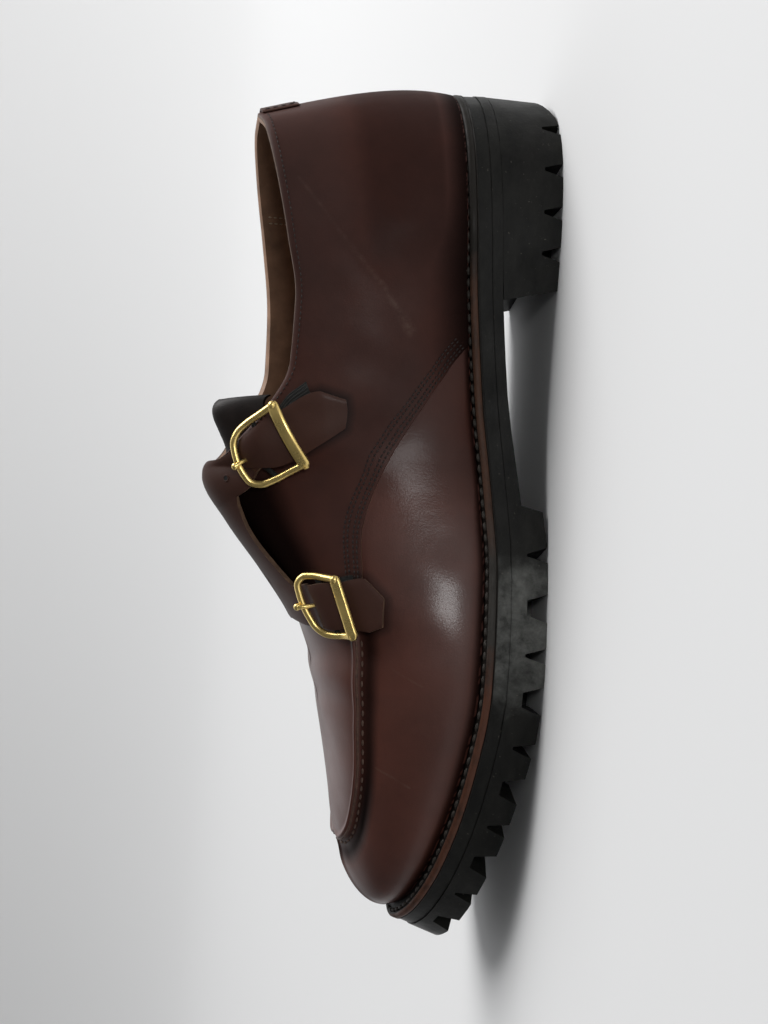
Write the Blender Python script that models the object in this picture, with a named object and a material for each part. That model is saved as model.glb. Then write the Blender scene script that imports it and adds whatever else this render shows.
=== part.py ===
"""Left double monk strap shoe on a lugged rubber sole, built as a shoemaker's separate pieces.

Lengths in the tables are millimetres. The toe points to +Y, the inner (medial) side of the foot to +X,
and the shoe stands on the plane Z = 0.
"""

import math

import bmesh
import bpy
import numpy as np

MM = 0.001
LATERAL, MEDIAL = -1, 1
GAP = 0.3                    # clearance between pieces that touch
TINY = 1e-6
SURFACE_STEP = 0.004         # step for slopes and normals, as a share or rise
OUTLINE_SAMPLES = 60         # points on each span of the sole's outline

# Sole: layers under the foot, from the welt down to the tread.
SOLE_BACK = -149.9           # back of the welt
SOLE_FRONT = 144.6           # front of the welt
WELT_THICK = 3.0
WELT_BEVEL = 0.5
MIDSOLE_THICK = 4.5
MIDSOLE_INSET = 0.3
LUG_DEPTH = 7.0
INSOLE_THICK = 4.0
HEEL_INSET = 0.2
FOREPART_START = 0.494       # edge share where the forepart tread begins
LUG_RAMP = 0.008             # edge share taken by the slope behind the first lug
HEEL_BREAST = 0.264          # edge share where the heel block ends
BREAST_HOLLOW = 7.0          # depth of the hollow in the heel's breast
BREAST_SLANT = 0.016         # edge share by which the breast's top lies ahead of its foot
BREAST_POWER = 4             # keeps the slant near the breast
HEEL_NOTCHES = (0.0875, 0.140, 0.1855, 0.2275)
HEEL_NOTCH = (5.0, 1.2)      # mouth and root of the cuts between the heel's lugs
HEEL_LUG_DEPTH = 6.4
HEEL_NOTCH_REACH = 13.0
FOREPART_NOTCHES = (0.535, 0.585, 0.632, 0.675, 0.719, 0.761, 0.803, 0.845, 0.888, 0.935)
NARROW_NOTCH = (5.2, 1.0)    # mouth and root of the forepart's cuts
WIDE_NOTCH = (9.6, 5.0)
NOTCH_REACH = 19.0
TOE_NOTCH_REACH = 12.0
CHANNEL_WIDTH = 5.0
CHANNEL_END = 0.86           # edge share where the long channels stop
CROSS_CUTS = (0.554, 0.605, 0.656, 0.708, 0.759, 0.810)
CUT_OVER = 3.0               # how far a cut runs past the surface that it opens
LAYER_RUNGS = 40             # rungs from side to side: midsole and welt, then the other pieces
INSOLE_RUNGS = 30
WAIST_RUNGS = 22
FOREPART_RUNGS = 26
HEEL_RUNGS = 16
HEEL_CELLS = 6               # cells across the heel
CHANNEL_RINGS = 12

# Upper: wall, the step of the quarters over the vamp, and the raised seams.
WALL = 2.2
QUARTER_STEP = 1.1
RIDGE_STEP = 0.2             # what is left of that step under the flap
FLAP_FADE_RISE = (0.70, 0.90)
FLAP_FADE_SHARE = 0.04
APRON_RIDGE = 1.4
APRON_RIDGE_HALF = 0.024     # half width of the ridge, as a share of the section's rise
APRON_TOP = 0.985            # highest rise of the ridge's upper flank
TOE_RIDGE = 0.8
TOE_RIDGE_HALF = 0.010       # half width of the split toe seam, as an edge share
PEAK = 0.465                 # section where the collar's two sides meet on the instep
SEAM_ROW = 8                 # row of the outer skin on the apron's seam
OUTER_ROWS = 14
INNER_ROWS = 9
COLLAR_COLUMNS = 17          # sections from the heel to the peak
FLAP_COLUMNS = 6             # sections from the peak to the quarter's front edge
VAMP_COLUMNS = 18
SOLVE_ROUNDS = 14            # rounds that bring a section and a row together
PEAK_BLEND = 0.12            # edge share behind the peak in which the sections lean into the ridge's slope
FAIR_SHARES = (0.35, 0.41, 0.50, 0.56)   # edge shares where blending with the neighbours starts, is full, ends
FAIR_RISES = (0.0, 0.12, 0.40, 0.62)     # the same by rise
FAIR_STEPS = (-0.054, -0.036, -0.018, 0.018, 0.036, 0.054)

SOLE_OUTLINE = np.array([
    # station, lateral, medial: share of the length from the heel, reach to either side
    (0.000, 0.0, 0.0),
    (0.020, 17.0, 17.0),
    (0.070, 30.5, 29.5),
    (0.150, 37.0, 34.5),
    (0.270, 36.5, 32.0),
    (0.390, 37.0, 28.0),
    (0.490, 43.0, 31.0),
    (0.590, 50.5, 40.5),
    (0.670, 53.5, 47.5),
    (0.740, 52.5, 50.5),
    (0.810, 48.5, 49.5),
    (0.880, 40.5, 44.5),
    (0.940, 29.0, 35.0),
    (0.985, 13.0, 20.0),
    (1.000, -3.5, 3.5),
])

WELT_TOP = np.array([
    # along, height: the line on which the upper stands
    (-150.0, 34.5),
    (-117.0, 33.0),
    (-80.0, 30.4),
    (-40.0, 26.0),
    (-5.0, 21.8),
    (20.0, 20.0),
    (58.0, 20.0),
    (85.0, 22.7),
    (110.0, 26.8),
    (130.0, 31.6),
    (150.0, 38.6),
])

WEB_THICK = np.array([
    # along, thickness of the outsole without its lugs
    (-150.0, 3.5),
    (-45.0, 3.5),
    (-15.0, 4.2),
    (15.0, 5.2),
    (60.0, 5.2),
    (105.0, 3.8),
    (150.0, 3.2),
])

LEDGE = np.array([
    # edge share, width of welt that shows outside the upper
    (0.00, 1.0),
    (0.12, 2.0),
    (0.25, 3.0),
    (0.40, 4.5),
    (0.60, 6.0),
    (0.80, 6.5),
    (1.00, 4.6),
])

UPPER_TOP = np.array([
    # edge share, lateral x, medial x, along, lateral height, medial height: collar, then the ridge
    (0.000, 0.0, 0.0, -137.0, 103.0, 103.0),
    (0.070, -15.0, 15.0, -130.5, 101.5, 102.0),
    (0.140, -23.5, 23.5, -114.0, 97.5, 99.0),
    (0.210, -26.5, 26.5, -92.0, 92.5, 95.0),
    (0.280, -27.0, 27.0, -70.0, 88.5, 92.0),
    (0.340, -26.0, 26.0, -49.0, 88.8, 91.5),
    (0.390, -22.0, 22.0, -33.0, 95.5, 96.5),
    (0.430, -13.0, 13.0, -18.5, 105.5, 105.5),
    (0.465, 0.0, 0.0, -9.0, 111.0, 111.0),
    (0.510, 0.0, 0.0, 5.0, 102.5, 102.5),
    (0.570, 0.5, 0.5, 22.0, 89.0, 89.0),
    (0.630, 1.0, 1.0, 39.0, 77.0, 77.0),
    (0.700, 1.5, 1.5, 57.0, 71.0, 71.0),
    (0.780, 2.2, 2.2, 76.0, 66.0, 66.0),
    (0.870, 3.0, 3.0, 92.0, 62.4, 62.4),
    (0.940, 3.3, 3.3, 101.0, 60.8, 60.8),
    (1.000, 3.5, 3.5, 106.0, 60.0, 60.0),
])

UPPER_FULLNESS = np.array([
    # edge share, rise, lateral flare, medial flare, reach, drop: how each section swells
    (0.000, 22.0, 3.0, 3.0, 7.0, 24.0),
    (0.070, 22.0, 3.2, 3.2, 6.0, 24.0),
    (0.140, 21.0, 3.5, 3.5, 5.0, 23.0),
    (0.210, 19.0, 4.0, 4.0, 5.0, 20.0),
    (0.280, 18.0, 4.0, 6.0, 6.0, 18.0),
    (0.340, 18.0, 4.0, 8.0, 8.0, 18.0),
    (0.390, 18.0, 4.0, 8.5, 11.0, 18.0),
    (0.430, 19.0, 3.5, 8.5, 17.0, 11.0),
    (0.465, 20.0, 3.0, 8.0, 21.0, 2.0),
    (0.510, 21.0, 3.0, 7.0, 22.0, 0.0),
    (0.570, 22.0, 3.0, 6.0, 25.0, 0.0),
    (0.630, 23.0, 3.0, 4.5, 29.0, 0.0),
    (0.700, 24.0, 2.5, 3.5, 33.0, 0.0),
    (0.780, 22.0, 2.5, 3.0, 33.0, 0.0),
    (0.870, 17.0, 3.0, 3.0, 29.0, 0.0),
    (0.940, 12.5, 3.3, 3.3, 26.0, 0.0),
    (1.000, 10.5, 3.5, 3.5, 24.0, 0.0),
])

QUARTER_EDGE = np.array([
    # rise, lateral edge share, medial edge share: front edge of the quarters on the vamp
    (0.00, 0.322, 0.300),
    (0.15, 0.352, 0.330),
    (0.28, 0.395, 0.370),
    (0.36, 0.450, 0.420),
    (0.42, 0.520, 0.480),
    (0.48, 0.590, 0.555),
    (0.60, 0.618, 0.600),
    (1.00, 0.630, 0.630),
])

APRON_SEAM = np.array([
    # edge share, rise of the seam on the section
    (0.00, 0.560),
    (0.60, 0.560),
    (0.70, 0.590),
    (0.80, 0.610),
    (0.90, 0.690),
    (1.00, 0.870),
])

TONGUE_THICK = 1.8
TONGUE_EDGE = 0.66           # rise on the section where the tongue's side edges lie
TONGUE_ROWS = 9              # rows from the side edge to the ridge
SWEEP_POWER = 1.8            # how soon the tongue's end sweeps back from its middle

TONGUE = (
    # section, clearance under the wall, shift back, shift up, share of the width, sweep of the sides
    (0.655, 0.85, 0.0, 0.0, 1.00, 0.0),
    (0.620, 1.00, 0.0, 0.0, 1.00, 0.0),
    (0.575, 1.50, 0.0, 0.0, 1.00, 0.0),
    (0.530, 2.00, 0.0, 0.0, 0.98, 0.0),
    (0.490, 2.60, 0.0, 0.0, 0.96, 0.0),
    (0.468, 3.00, 0.0, 0.0, 0.94, 0.5),
    (0.468, 3.00, 9.0, 0.8, 0.88, 1.5),
    (0.468, 3.00, 15.0, 3.6, 0.83, 2.0),
    (0.468, 3.00, 20.0, 6.4, 0.79, 2.4),
    (0.468, 3.00, 24.0, 6.4, 0.75, 2.6),
    (0.468, 3.00, 26.5, 4.4, 0.71, 2.0),
)

HEEL_TREAD = np.array([
    # along, height of the heel's tread: lifted at the very back
    (-150.0, 5.0),
    (-144.0, 1.8),
    (-137.0, 0.0),
    (0.0, 0.0),
])

# Monk flap: the inner quarter's cover over the instep with its two straps.
LEATHER = 1.7                # thickness of flap and straps
STRAP_CELLS = 6              # cells across each strap
CUT_CELLS = 4                # cells along the hollow cut between the straps
RIDGE_ROW = 8                # grid row of the flap on the instep's ridge
CUT_DEPTH = 0.05             # how far that hollow reaches up, as a share of the section's rise
BODY_RUN = (0.08, 0.15, 0.22, 0.30)
STRAP_RUN = (0.36, 0.42, 0.46, 0.49, 0.52, 0.58, 0.64, 0.69, 0.74, 0.82, 0.90, 1.00)

FLAP_INNER_SIDE = np.array([
    # run from the ridge, rise, rear share, front share, underside at the rear, at the front, thickness
    (0.00, 1.00, 0.468, 0.630, 1.9, 0.8, LEATHER),
    (0.30, 0.90, 0.468, 0.628, 1.9, 1.2, LEATHER),
    (0.60, 0.80, 0.468, 0.620, 1.8, 1.4, 1.4),
    (0.80, 0.71, 0.467, 0.612, 1.6, 1.4, 0.9),
    (1.00, 0.62, 0.466, 0.602, 1.5, 1.4, 0.4),
])

STRAP_UPPER = np.array([
    # run from the ridge, rear share, rear rise, front share, front rise, underside over the last
    (0.00, 0.468, 1.000, 0.500, 1.000, 1.8),
    (0.15, 0.456, 0.985, 0.499, 0.880, 2.4),
    (0.30, 0.445, 0.963, 0.492, 0.790, 2.6),
    (0.42, 0.434, 0.941, 0.483, 0.725, 2.4),
    (0.46, 0.428, 0.935, 0.477, 0.711, 2.6),
    (0.52, 0.420, 0.925, 0.469, 0.690, 4.4),
    (0.58, 0.412, 0.915, 0.460, 0.670, 4.9),
    (0.74, 0.392, 0.887, 0.436, 0.616, 2.5),
    (0.90, 0.373, 0.765, 0.425, 0.585, 2.4),
    (1.00, 0.382, 0.628, 0.412, 0.553, 1.7),
])

STRAP_LOWER = np.array([
    # run from the ridge, rear share, rear rise, front share, front rise, underside over the last
    (0.00, 0.584, 1.000, 0.630, 1.000, 0.8),
    (0.15, 0.586, 0.880, 0.632, 0.900, 1.4),
    (0.30, 0.590, 0.760, 0.634, 0.790, 2.1),
    (0.42, 0.588, 0.700, 0.631, 0.700, 2.3),
    (0.46, 0.587, 0.680, 0.631, 0.680, 2.9),
    (0.52, 0.586, 0.649, 0.631, 0.651, 4.5),
    (0.58, 0.584, 0.618, 0.631, 0.622, 4.9),
    (0.74, 0.581, 0.535, 0.629, 0.535, 2.6),
    (0.90, 0.574, 0.445, 0.629, 0.470, 2.4),
    (1.00, 0.592, 0.390, 0.622, 0.416, 1.7),
])

# Buckles: a bowed frame with a straight outer bar and a middle bar for the prong.
FRAME_STOCK = 1.05           # half thickness of the frame's round stock
FRAME_BAR = (1.45, 0.9)      # half width and half thickness of the flat outer bar
MIDDLE_BAR = 0.9             # radius of the bar that the strap runs over
MIDDLE_BAR_LIFT = 3.3        # height of that bar over the last
MIDDLE_BAR_PLACES = (0.0, 0.12, 0.30, 0.50, 0.70, 0.88, 1.0)
FRAME_SIDES = 8

BUCKLE_UPPER = {
    # corners by edge share, rise and height over the last
    "bar": ((0.388, 0.943, 5.8), (0.447, 0.587, 5.9)),
    "curve": ((0.421, 0.988, 6.6), (0.487, 0.712, 5.6)),
    "bar_bow": 1.9,
    "curve_bow": 0.7,
    "dip": 0.6,
}

BUCKLE_LOWER = {
    "bar": ((0.578, 0.542, 5.8), (0.635, 0.531, 5.8)),
    "curve": ((0.575, 0.705, 5.7), (0.641, 0.702, 5.8)),
    "bar_bow": 0.0,
    "curve_bow": 0.4,
    "dip": 1.2,
}

FRAME_PATH = (
    # place on the frame: along the bar, from bar to curve
    (0.00, 0.00), (0.25, 0.00), (0.50, 0.00), (0.75, 0.00), (1.00, 0.00),
    (1.00, 0.30), (1.00, 0.60), (0.97, 0.80), (0.86, 0.95), (0.70, 1.00), (0.50, 1.02),
    (0.30, 1.00), (0.14, 0.95), (0.03, 0.80), (0.00, 0.60), (0.00, 0.30),
)

PRONG = (
    # from the middle bar to past the curve, height over the frame's middle line, radius
    (0.66, -0.6, 0.70),
    (0.76, -0.2, 0.80),
    (0.86, 1.3, 0.90),
    (0.94, 2.1, 0.95),
    (1.00, 2.3, 1.05),
    (1.07, 2.2, 1.20),
    (1.11, 2.0, 0.80),
)
PRONG_FLAT = 0.8             # thickness of the prong over its width
PRONG_HOLE = (1.35, 2.3)     # half width and half length of the hole in the strap
PRONG_HOLE_PLACE = 0.77      # from the middle bar to past the curve

TAB_UPPER = (
    # rear share, rear rise, front share, front rise: elastic that holds the buckle on the outer quarter
    (0.410, 0.915, 0.459, 0.668),
    (0.395, 0.922, 0.447, 0.640),
    (0.380, 0.921, 0.437, 0.612),
    (0.362, 0.868, 0.428, 0.594),
)
TAB_LOWER = (
    (0.583, 0.618, 0.612, 0.620),
    (0.580, 0.575, 0.606, 0.577),
    (0.576, 0.535, 0.598, 0.535),
    (0.572, 0.490, 0.588, 0.492),
)
TAB_THICK = 0.7
TAB_LIFT = QUARTER_STEP + GAP

HEEL_TAB_SHARE = 0.020       # half width of the tab at the top of the back seam
HEEL_TAB_LOW = 0.80          # rise at its lower end
HEEL_TAB_HIGH = 0.985
HEEL_TAB_THICK = 0.9
HEEL_TAB_CELLS = (6, 4)


def smooth(table, column, at):
    """Smooth curve through one column of a table, without overshoot."""
    xs, ys = table[:, 0], table[:, column]
    step, slope = np.diff(xs), np.diff(ys) / np.diff(xs)
    tangent = np.empty(len(xs))
    tangent[0], tangent[-1] = slope[0], slope[-1]
    before, after = slope[:-1], slope[1:]
    same = before * after > 0.0
    total = step[:-1] + step[1:]
    mixed = (after * (2.0 * step[:-1] + step[1:]) + before * (step[:-1] + 2.0 * step[1:])) / (3.0 * total)
    limit = 2.5 * np.minimum(abs(before), abs(after))
    tangent[1:-1] = np.where(same, np.sign(before) * np.minimum(abs(mixed), limit), 0.0)
    at = np.clip(at, xs[0], xs[-1])
    cell = np.clip(np.searchsorted(xs, at, side="right") - 1, 0, len(xs) - 2)
    width = xs[cell + 1] - xs[cell]
    u = (at - xs[cell]) / width
    return (ys[cell] * (1 + 2 * u) * (1 - u) ** 2 + ys[cell + 1] * u * u * (3 - 2 * u)
            + width * (tangent[cell] * u * (1 - u) ** 2 - tangent[cell + 1] * u * u * (1 - u)))


def ramp(at, start, stop):
    """Soft step from 0 at start to 1 at stop."""
    u = min(max((at - start) / (stop - start), 0.0), 1.0)
    return u * u * (3.0 - 2.0 * u)


def closed_curve(points, samples):
    """Smooth closed curve through points, with the same number of samples on every span."""
    points = np.asarray(points, float)
    ahead, behind = np.roll(points, -1, 0), np.roll(points, 1, 0)
    chord = np.linalg.norm(ahead - points, axis=1)[:, None]
    last = np.roll(chord, 1, 0)
    tangent = ((ahead - points) / chord * last + (points - behind) / last * chord) / (chord + last)
    u = (np.arange(samples) / samples)[None, :, None]
    p, q = points[:, None], ahead[:, None]
    m, n = (tangent * chord)[:, None], (np.roll(tangent, -1, 0) * chord)[:, None]
    curve = (p * (1 + 2 * u) * (1 - u) ** 2 + q * u * u * (3 - 2 * u)
             + m * u * (1 - u) ** 2 - n * u * u * (1 - u))
    return curve.reshape(-1, 2)


def sole_edge():
    """The sole's outline: for each side its points and outward normals against the edge share."""
    along = SOLE_BACK + SOLE_OUTLINE[:, 0] * (SOLE_FRONT - SOLE_BACK)
    lateral = np.stack([-SOLE_OUTLINE[:, 1], along], 1)
    medial = np.stack([SOLE_OUTLINE[:, 2], along], 1)
    loop = closed_curve(np.concatenate([lateral, medial[-2:0:-1]]), OUTLINE_SAMPLES)
    loop[:, 0] -= (loop[:, 0].min() + loop[:, 0].max()) / 2
    toe = (len(lateral) - 1) * OUTLINE_SAMPLES
    halves = {LATERAL: loop[:toe + 1], MEDIAL: np.concatenate([loop[:1], loop[:toe - 1:-1]])}
    edge = {}
    for side, points in halves.items():
        run = np.concatenate([[0.0], np.cumsum(np.linalg.norm(np.diff(points, axis=0), axis=1))])
        tangent = np.gradient(points, run, axis=0)
        tangent /= np.linalg.norm(tangent, axis=1)[:, None]
        tangent[0], tangent[-1] = (side, 0.0), (-side, 0.0)
        normal = np.stack([tangent[:, 1], -tangent[:, 0]], 1) * side
        edge[side] = (run / run[-1], points, normal)
    return edge


EDGE = sole_edge()


def edge_point(side, share, inset=0.0):
    """Point of the sole's outline in plan, moved in by inset, and the outward normal there."""
    shares, points, normals = EDGE[side]
    point = np.array([np.interp(share, shares, points[:, i]) for i in (0, 1)])
    normal = np.array([np.interp(share, shares, normals[:, i]) for i in (0, 1)])
    normal /= np.linalg.norm(normal)
    return point - normal * inset, normal


def sole_point(side, share, inset=0.0, depth=0.0):
    """Point on the sole's side at a depth under the welt's top, square to the sole's own bend."""
    (x, y), _ = edge_point(side, share, inset)
    return sole_at(x, y, depth)


def sole_at(x, y, depth):
    """Point at a depth under the welt's top line."""
    reach = 1.0
    slope = (smooth(WELT_TOP, 1, y + reach) - smooth(WELT_TOP, 1, y - reach)) / (2 * reach)
    lean = math.atan(slope)
    return np.array([x, y + depth * math.sin(lean), smooth(WELT_TOP, 1, y) - depth * math.cos(lean)])


def section_frame(side, share):
    """Control points of one section of the upper: foot, lower handle, upper handle, top."""
    if share in (0.0, 1.0):
        side = LATERAL
    (x, y), out = edge_point(side, share, smooth(LEDGE, 1, share))
    out = np.array([out[0], out[1], 0.0])
    foot = np.array([x, y, smooth(WELT_TOP, 1, y) + GAP])
    col_x, col_z, col_flare = (1, 4, 2) if side == LATERAL else (2, 5, 3)
    top = np.array([smooth(UPPER_TOP, c, share) for c in (col_x, 3, col_z)])
    rise, flare, reach, drop = (smooth(UPPER_FULLNESS, c, share) for c in (1, col_flare, 4, 5))
    up = np.array([0.0, 0.0, 1.0])
    over = out + up * ridge_slope(max(share, PEAK)) * ramp(share, PEAK - PEAK_BLEND, PEAK) * out[1]
    return foot, foot + up * rise + out * flare, top + over * reach - up * drop, top


def ridge_slope(share):
    """Fall of the instep's ridge per length along the foot."""
    low, high = max(share - SURFACE_STEP, PEAK), min(share + SURFACE_STEP, 1.0)
    run = smooth(UPPER_TOP, 3, high) - smooth(UPPER_TOP, 3, low)
    return (smooth(UPPER_TOP, 4, high) - smooth(UPPER_TOP, 4, low)) / run


def section_point(side, share, rise):
    """Point of one section: rise 0 at the welt, 1 at the collar or ridge."""
    a, b, c, d = section_frame(side, share)
    u = 1.0 - rise
    return a * u ** 3 + 3 * b * u * u * rise + 3 * c * u * rise * rise + d * rise ** 3


def plateau(at, start, full, fall, end):
    """Soft rise from start to full and soft fall from fall to end."""
    return ramp(at, start, full) * (1.0 - ramp(at, fall, end))


def base_point(side, share, rise):
    """Point of the last's own surface, its sections blended with their neighbours under the peak."""
    point = section_point(side, share, rise)
    fair = plateau(share, *FAIR_SHARES) * plateau(rise, *FAIR_RISES)
    if fair > 0.0:
        near = np.mean([section_point(side, share + step, rise) for step in FAIR_STEPS], axis=0)
        point = point + (near - point) * fair
    return point


def base_normal(side, share, rise):
    """Outward normal of the last's surface."""
    if share in (0.0, 1.0):
        side = LATERAL
    if rise == 1.0 and share >= PEAK - TINY:
        slope = ridge_slope(share)
        normal = np.array([0.0, -slope, 1.0])
        return normal / np.linalg.norm(normal)
    low, high = max(share - SURFACE_STEP, 0.0), min(share + SURFACE_STEP, 1.0)
    along = base_point(side, high, rise) - base_point(side, low, rise)
    below, above = max(rise - SURFACE_STEP, 0.0), min(rise + SURFACE_STEP, 1.0)
    up = base_point(side, share, above) - base_point(side, share, below)
    normal = np.cross(along, up) * side
    if share in (0.0, 1.0):
        normal[0] = 0.0
    return normal / np.linalg.norm(normal)


def upper_point(side, share, rise, lift=0.0):
    """Point at a height over the last's surface."""
    return base_point(side, share, rise) + base_normal(side, share, rise) * lift


def quarter_edge(side, rise):
    """Edge share of the quarter's front edge at a rise on the section."""
    return smooth(QUARTER_EDGE, 1 if side == LATERAL else 2, rise)


class Shape:
    """Points and faces of one solid; points that coincide are one point."""

    def __init__(self):
        self.points = []
        self.index = {}
        self.faces = []

    def point(self, position):
        key = tuple(round(float(c), 3) for c in position)
        if key not in self.index:
            self.index[key] = len(self.points)
            self.points.append([float(c) * MM for c in position])
        return self.index[key]

    def face(self, *corners):
        ids = [self.point(c) for c in corners]
        ids = [a for a, b in zip(ids, ids[1:] + ids[:1]) if a != b]
        if len(set(ids)) == len(ids) and len(ids) >= 3:
            self.faces.append(ids)

    def patch(self, a, b, c, d):
        """Four-sided piece of skin, split along its shorter diagonal."""
        if math.dist(a, c) <= math.dist(b, d):
            self.face(a, b, c)
            self.face(a, c, d)
        else:
            self.face(a, b, d)
            self.face(b, c, d)

    def grid(self, rows, closed=False):
        """Skin over rows of points; closed joins the last row to the first."""
        count = len(rows) if closed else len(rows) - 1
        for i in range(count):
            here, there = rows[i], rows[(i + 1) % len(rows)]
            for j in range(len(here) - 1):
                self.patch(here[j], there[j], there[j + 1], here[j + 1])

    def build(self, name, material, sharp_deg=35.0):
        mesh = bpy.data.meshes.new(name)
        mesh.from_pydata(self.points, [], self.faces)
        work = bmesh.new()
        work.from_mesh(mesh)
        bmesh.ops.recalc_face_normals(work, faces=work.faces)
        if work.calc_volume(signed=True) < 0.0:
            bmesh.ops.reverse_faces(work, faces=work.faces)
        work.to_mesh(mesh)
        work.free()
        mesh.shade_smooth()
        mesh.set_sharp_from_angle(angle=math.radians(sharp_deg))
        mesh.materials.append(material)
        item = bpy.data.objects.new(name, mesh)
        bpy.context.scene.collection.objects.link(item)
        return item


def finish(name, colour, roughness, metallic=0.0):
    """Plain Principled material."""
    material = bpy.data.materials.new(name)
    material.use_nodes = True
    shader = material.node_tree.nodes["Principled BSDF"]
    shader.inputs["Base Color"].default_value = (*colour, 1.0)
    shader.inputs["Roughness"].default_value = roughness
    shader.inputs["Metallic"].default_value = metallic
    return material


def slab(name, material, shares, top, bottom, across=1):
    """Closed plate over rungs from the lateral to the medial edge.

    top and bottom each give the point at (edge share, side to side from 0 to 1).
    """
    shape = Shape()
    spread = np.linspace(0.0, 1.0, across + 1)
    upper = [[top(s, k) for k in spread] for s in shares]
    lower = [[bottom(s, k) for k in spread] for s in shares]
    shape.grid(upper)
    shape.grid(lower)
    for column in (0, -1):
        shape.grid([[row[column] for row in upper], [row[column] for row in lower]])
    for row in (0, -1):
        shape.grid([upper[row], lower[row]])
    return shape.build(name, material)


def layer(inset, depth):
    """Point function of a sole layer's face: inset from the edge, depth under the welt's top."""
    def at(share, k):
        d = depth(share) if callable(depth) else depth
        return sole_point(LATERAL, share, inset, d) * (1 - k) + sole_point(MEDIAL, share, inset, d) * k
    return at


def shares_between(start, stop, count):
    """Edge shares spaced closer at the round ends of the sole."""
    if start == 0.0 and stop == 1.0:
        return 0.5 * (1.0 - np.cos(np.linspace(0.0, math.pi, count)))
    if start == 0.0:
        return stop * (1.0 - np.cos(np.linspace(0.0, math.pi / 2, count)))
    return start + (stop - start) * np.sin(np.linspace(0.0, math.pi / 2, count))


def make_midsole(material):
    shares = shares_between(0.0, 1.0, LAYER_RUNGS)
    top, bottom = WELT_THICK + GAP, WELT_THICK + MIDSOLE_THICK
    return slab("midsole", material, shares, layer(MIDSOLE_INSET, top), layer(MIDSOLE_INSET, bottom))


def make_insole(material):
    """Footbed inside the welt and the foot of the wall."""
    shares = shares_between(0.0, 1.0, INSOLE_RUNGS)

    def at(height):
        def point(share, k):
            inset = smooth(LEDGE, 1, share) + WALL + 2 * GAP
            ends = [sole_point(side, share, inset, -height) for side in (LATERAL, MEDIAL)]
            return ends[0] * (1 - k) + ends[1] * k
        return point
    return slab("insole", material, shares, at(INSOLE_THICK - WELT_THICK), at(GAP - WELT_THICK))


def make_welt(material):
    """Leather strip round the foot of the upper."""
    shape = Shape()
    shares = shares_between(0.0, 1.0, LAYER_RUNGS)
    rounds = [(LATERAL, s) for s in shares] + [(MEDIAL, s) for s in shares[-2:0:-1]]

    def ring(side, share):
        inner = smooth(LEDGE, 1, share) + WALL
        corners = ((0.0, WELT_BEVEL), (WELT_BEVEL, 0.0), (inner, 0.0), (inner, WELT_THICK), (0.0, WELT_THICK))
        points = [sole_point(side, share, inset, depth) for inset, depth in corners]
        return points + points[:1]
    shape.grid([ring(*r) for r in rounds], closed=True)
    return shape.build("welt", material)


def make_outsole(material):
    """Plate under the whole foot, thick at the forepart where the lugs are cut."""
    top = WELT_THICK + MIDSOLE_THICK + GAP
    back = shares_between(0.0, FOREPART_START - LUG_RAMP, WAIST_RUNGS)
    front = shares_between(FOREPART_START, 1.0, FOREPART_RUNGS)
    shares = np.concatenate([back, front])

    def depth(share):
        y = edge_point(LATERAL, share)[0][1]
        lugs = LUG_DEPTH if share >= FOREPART_START else 0.0
        return top + smooth(WEB_THICK, 1, y) + lugs
    outsole = slab("outsole", material, shares, layer(0.0, top), layer(0.0, depth))

    def beside(side, share):
        """Places by inset, offset along the edge and height over the tread."""
        tread = depth(max(share, FOREPART_START))
        low, high = share - SURFACE_STEP, share + SURFACE_STEP
        ahead = sole_point(side, high, 0.0, tread) - sole_point(side, low, 0.0, tread)
        ahead /= np.linalg.norm(ahead)
        return lambda inset, offset, height: sole_point(side, share, inset, tread - height) + ahead * offset
    notches = Shape()
    for share, mouth, root, reach in forepart_notches():
        for side in (LATERAL, MEDIAL):
            notch(notches, beside(side, share), (-CUT_OVER, reach), mouth, root, LUG_DEPTH)
    cut(outsole, notches, "outsole_notches")
    for side, name in ((LATERAL, "outsole_channel_lateral"), (MEDIAL, "outsole_channel_medial")):
        channel = Shape()
        rings = [channel_ring(side, share, depth(max(share, FOREPART_START)))
                 for share in np.linspace(FOREPART_START - 2 * LUG_RAMP, CHANNEL_END, CHANNEL_RINGS)]
        channel.grid(rings)
        channel.face(*rings[0][:4])
        channel.face(*rings[-1][:4])
        cut(outsole, channel, name)
    bars = Shape()
    for share in CROSS_CUTS:
        cross_bar(bars, share, depth(share))
    cut(outsole, bars, "outsole_cross_cuts")
    return outsole


def forepart_notches():
    """Cuts between the forepart's side lugs, narrow and wide in turn."""
    rows = []
    for i, share in enumerate(FOREPART_NOTCHES):
        mouth, root = NARROW_NOTCH if i % 2 == 0 else WIDE_NOTCH
        rows.append((share, mouth, root, NOTCH_REACH if share < CHANNEL_END else TOE_NOTCH_REACH))
    return rows


def notch(shape, place, insets, mouth, root, depth):
    """One tapering cut: its mouth on the tread, its root at depth, running in from the edge."""
    spread = (mouth - root) / 2 * CUT_OVER / depth
    profile = ((-mouth / 2 - spread, -CUT_OVER), (mouth / 2 + spread, -CUT_OVER),
               (root / 2, depth), (-root / 2, depth))
    ends = [[place(inset, offset, height) for offset, height in profile] for inset in insets]
    shape.grid([end + end[:1] for end in ends])
    for end in ends:
        shape.face(*end)


def channel_ring(side, share, tread):
    """Section of the long channel between the side lugs and the middle lugs."""
    inner, outer = NOTCH_REACH + CHANNEL_WIDTH / 2, NOTCH_REACH - CHANNEL_WIDTH / 2
    corners = ((outer, tread + CUT_OVER), (inner, tread + CUT_OVER),
               (inner, tread - LUG_DEPTH), (outer, tread - LUG_DEPTH))
    ring = [sole_point(side, share, inset, depth) for inset, depth in corners]
    return ring + ring[:1]


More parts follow.
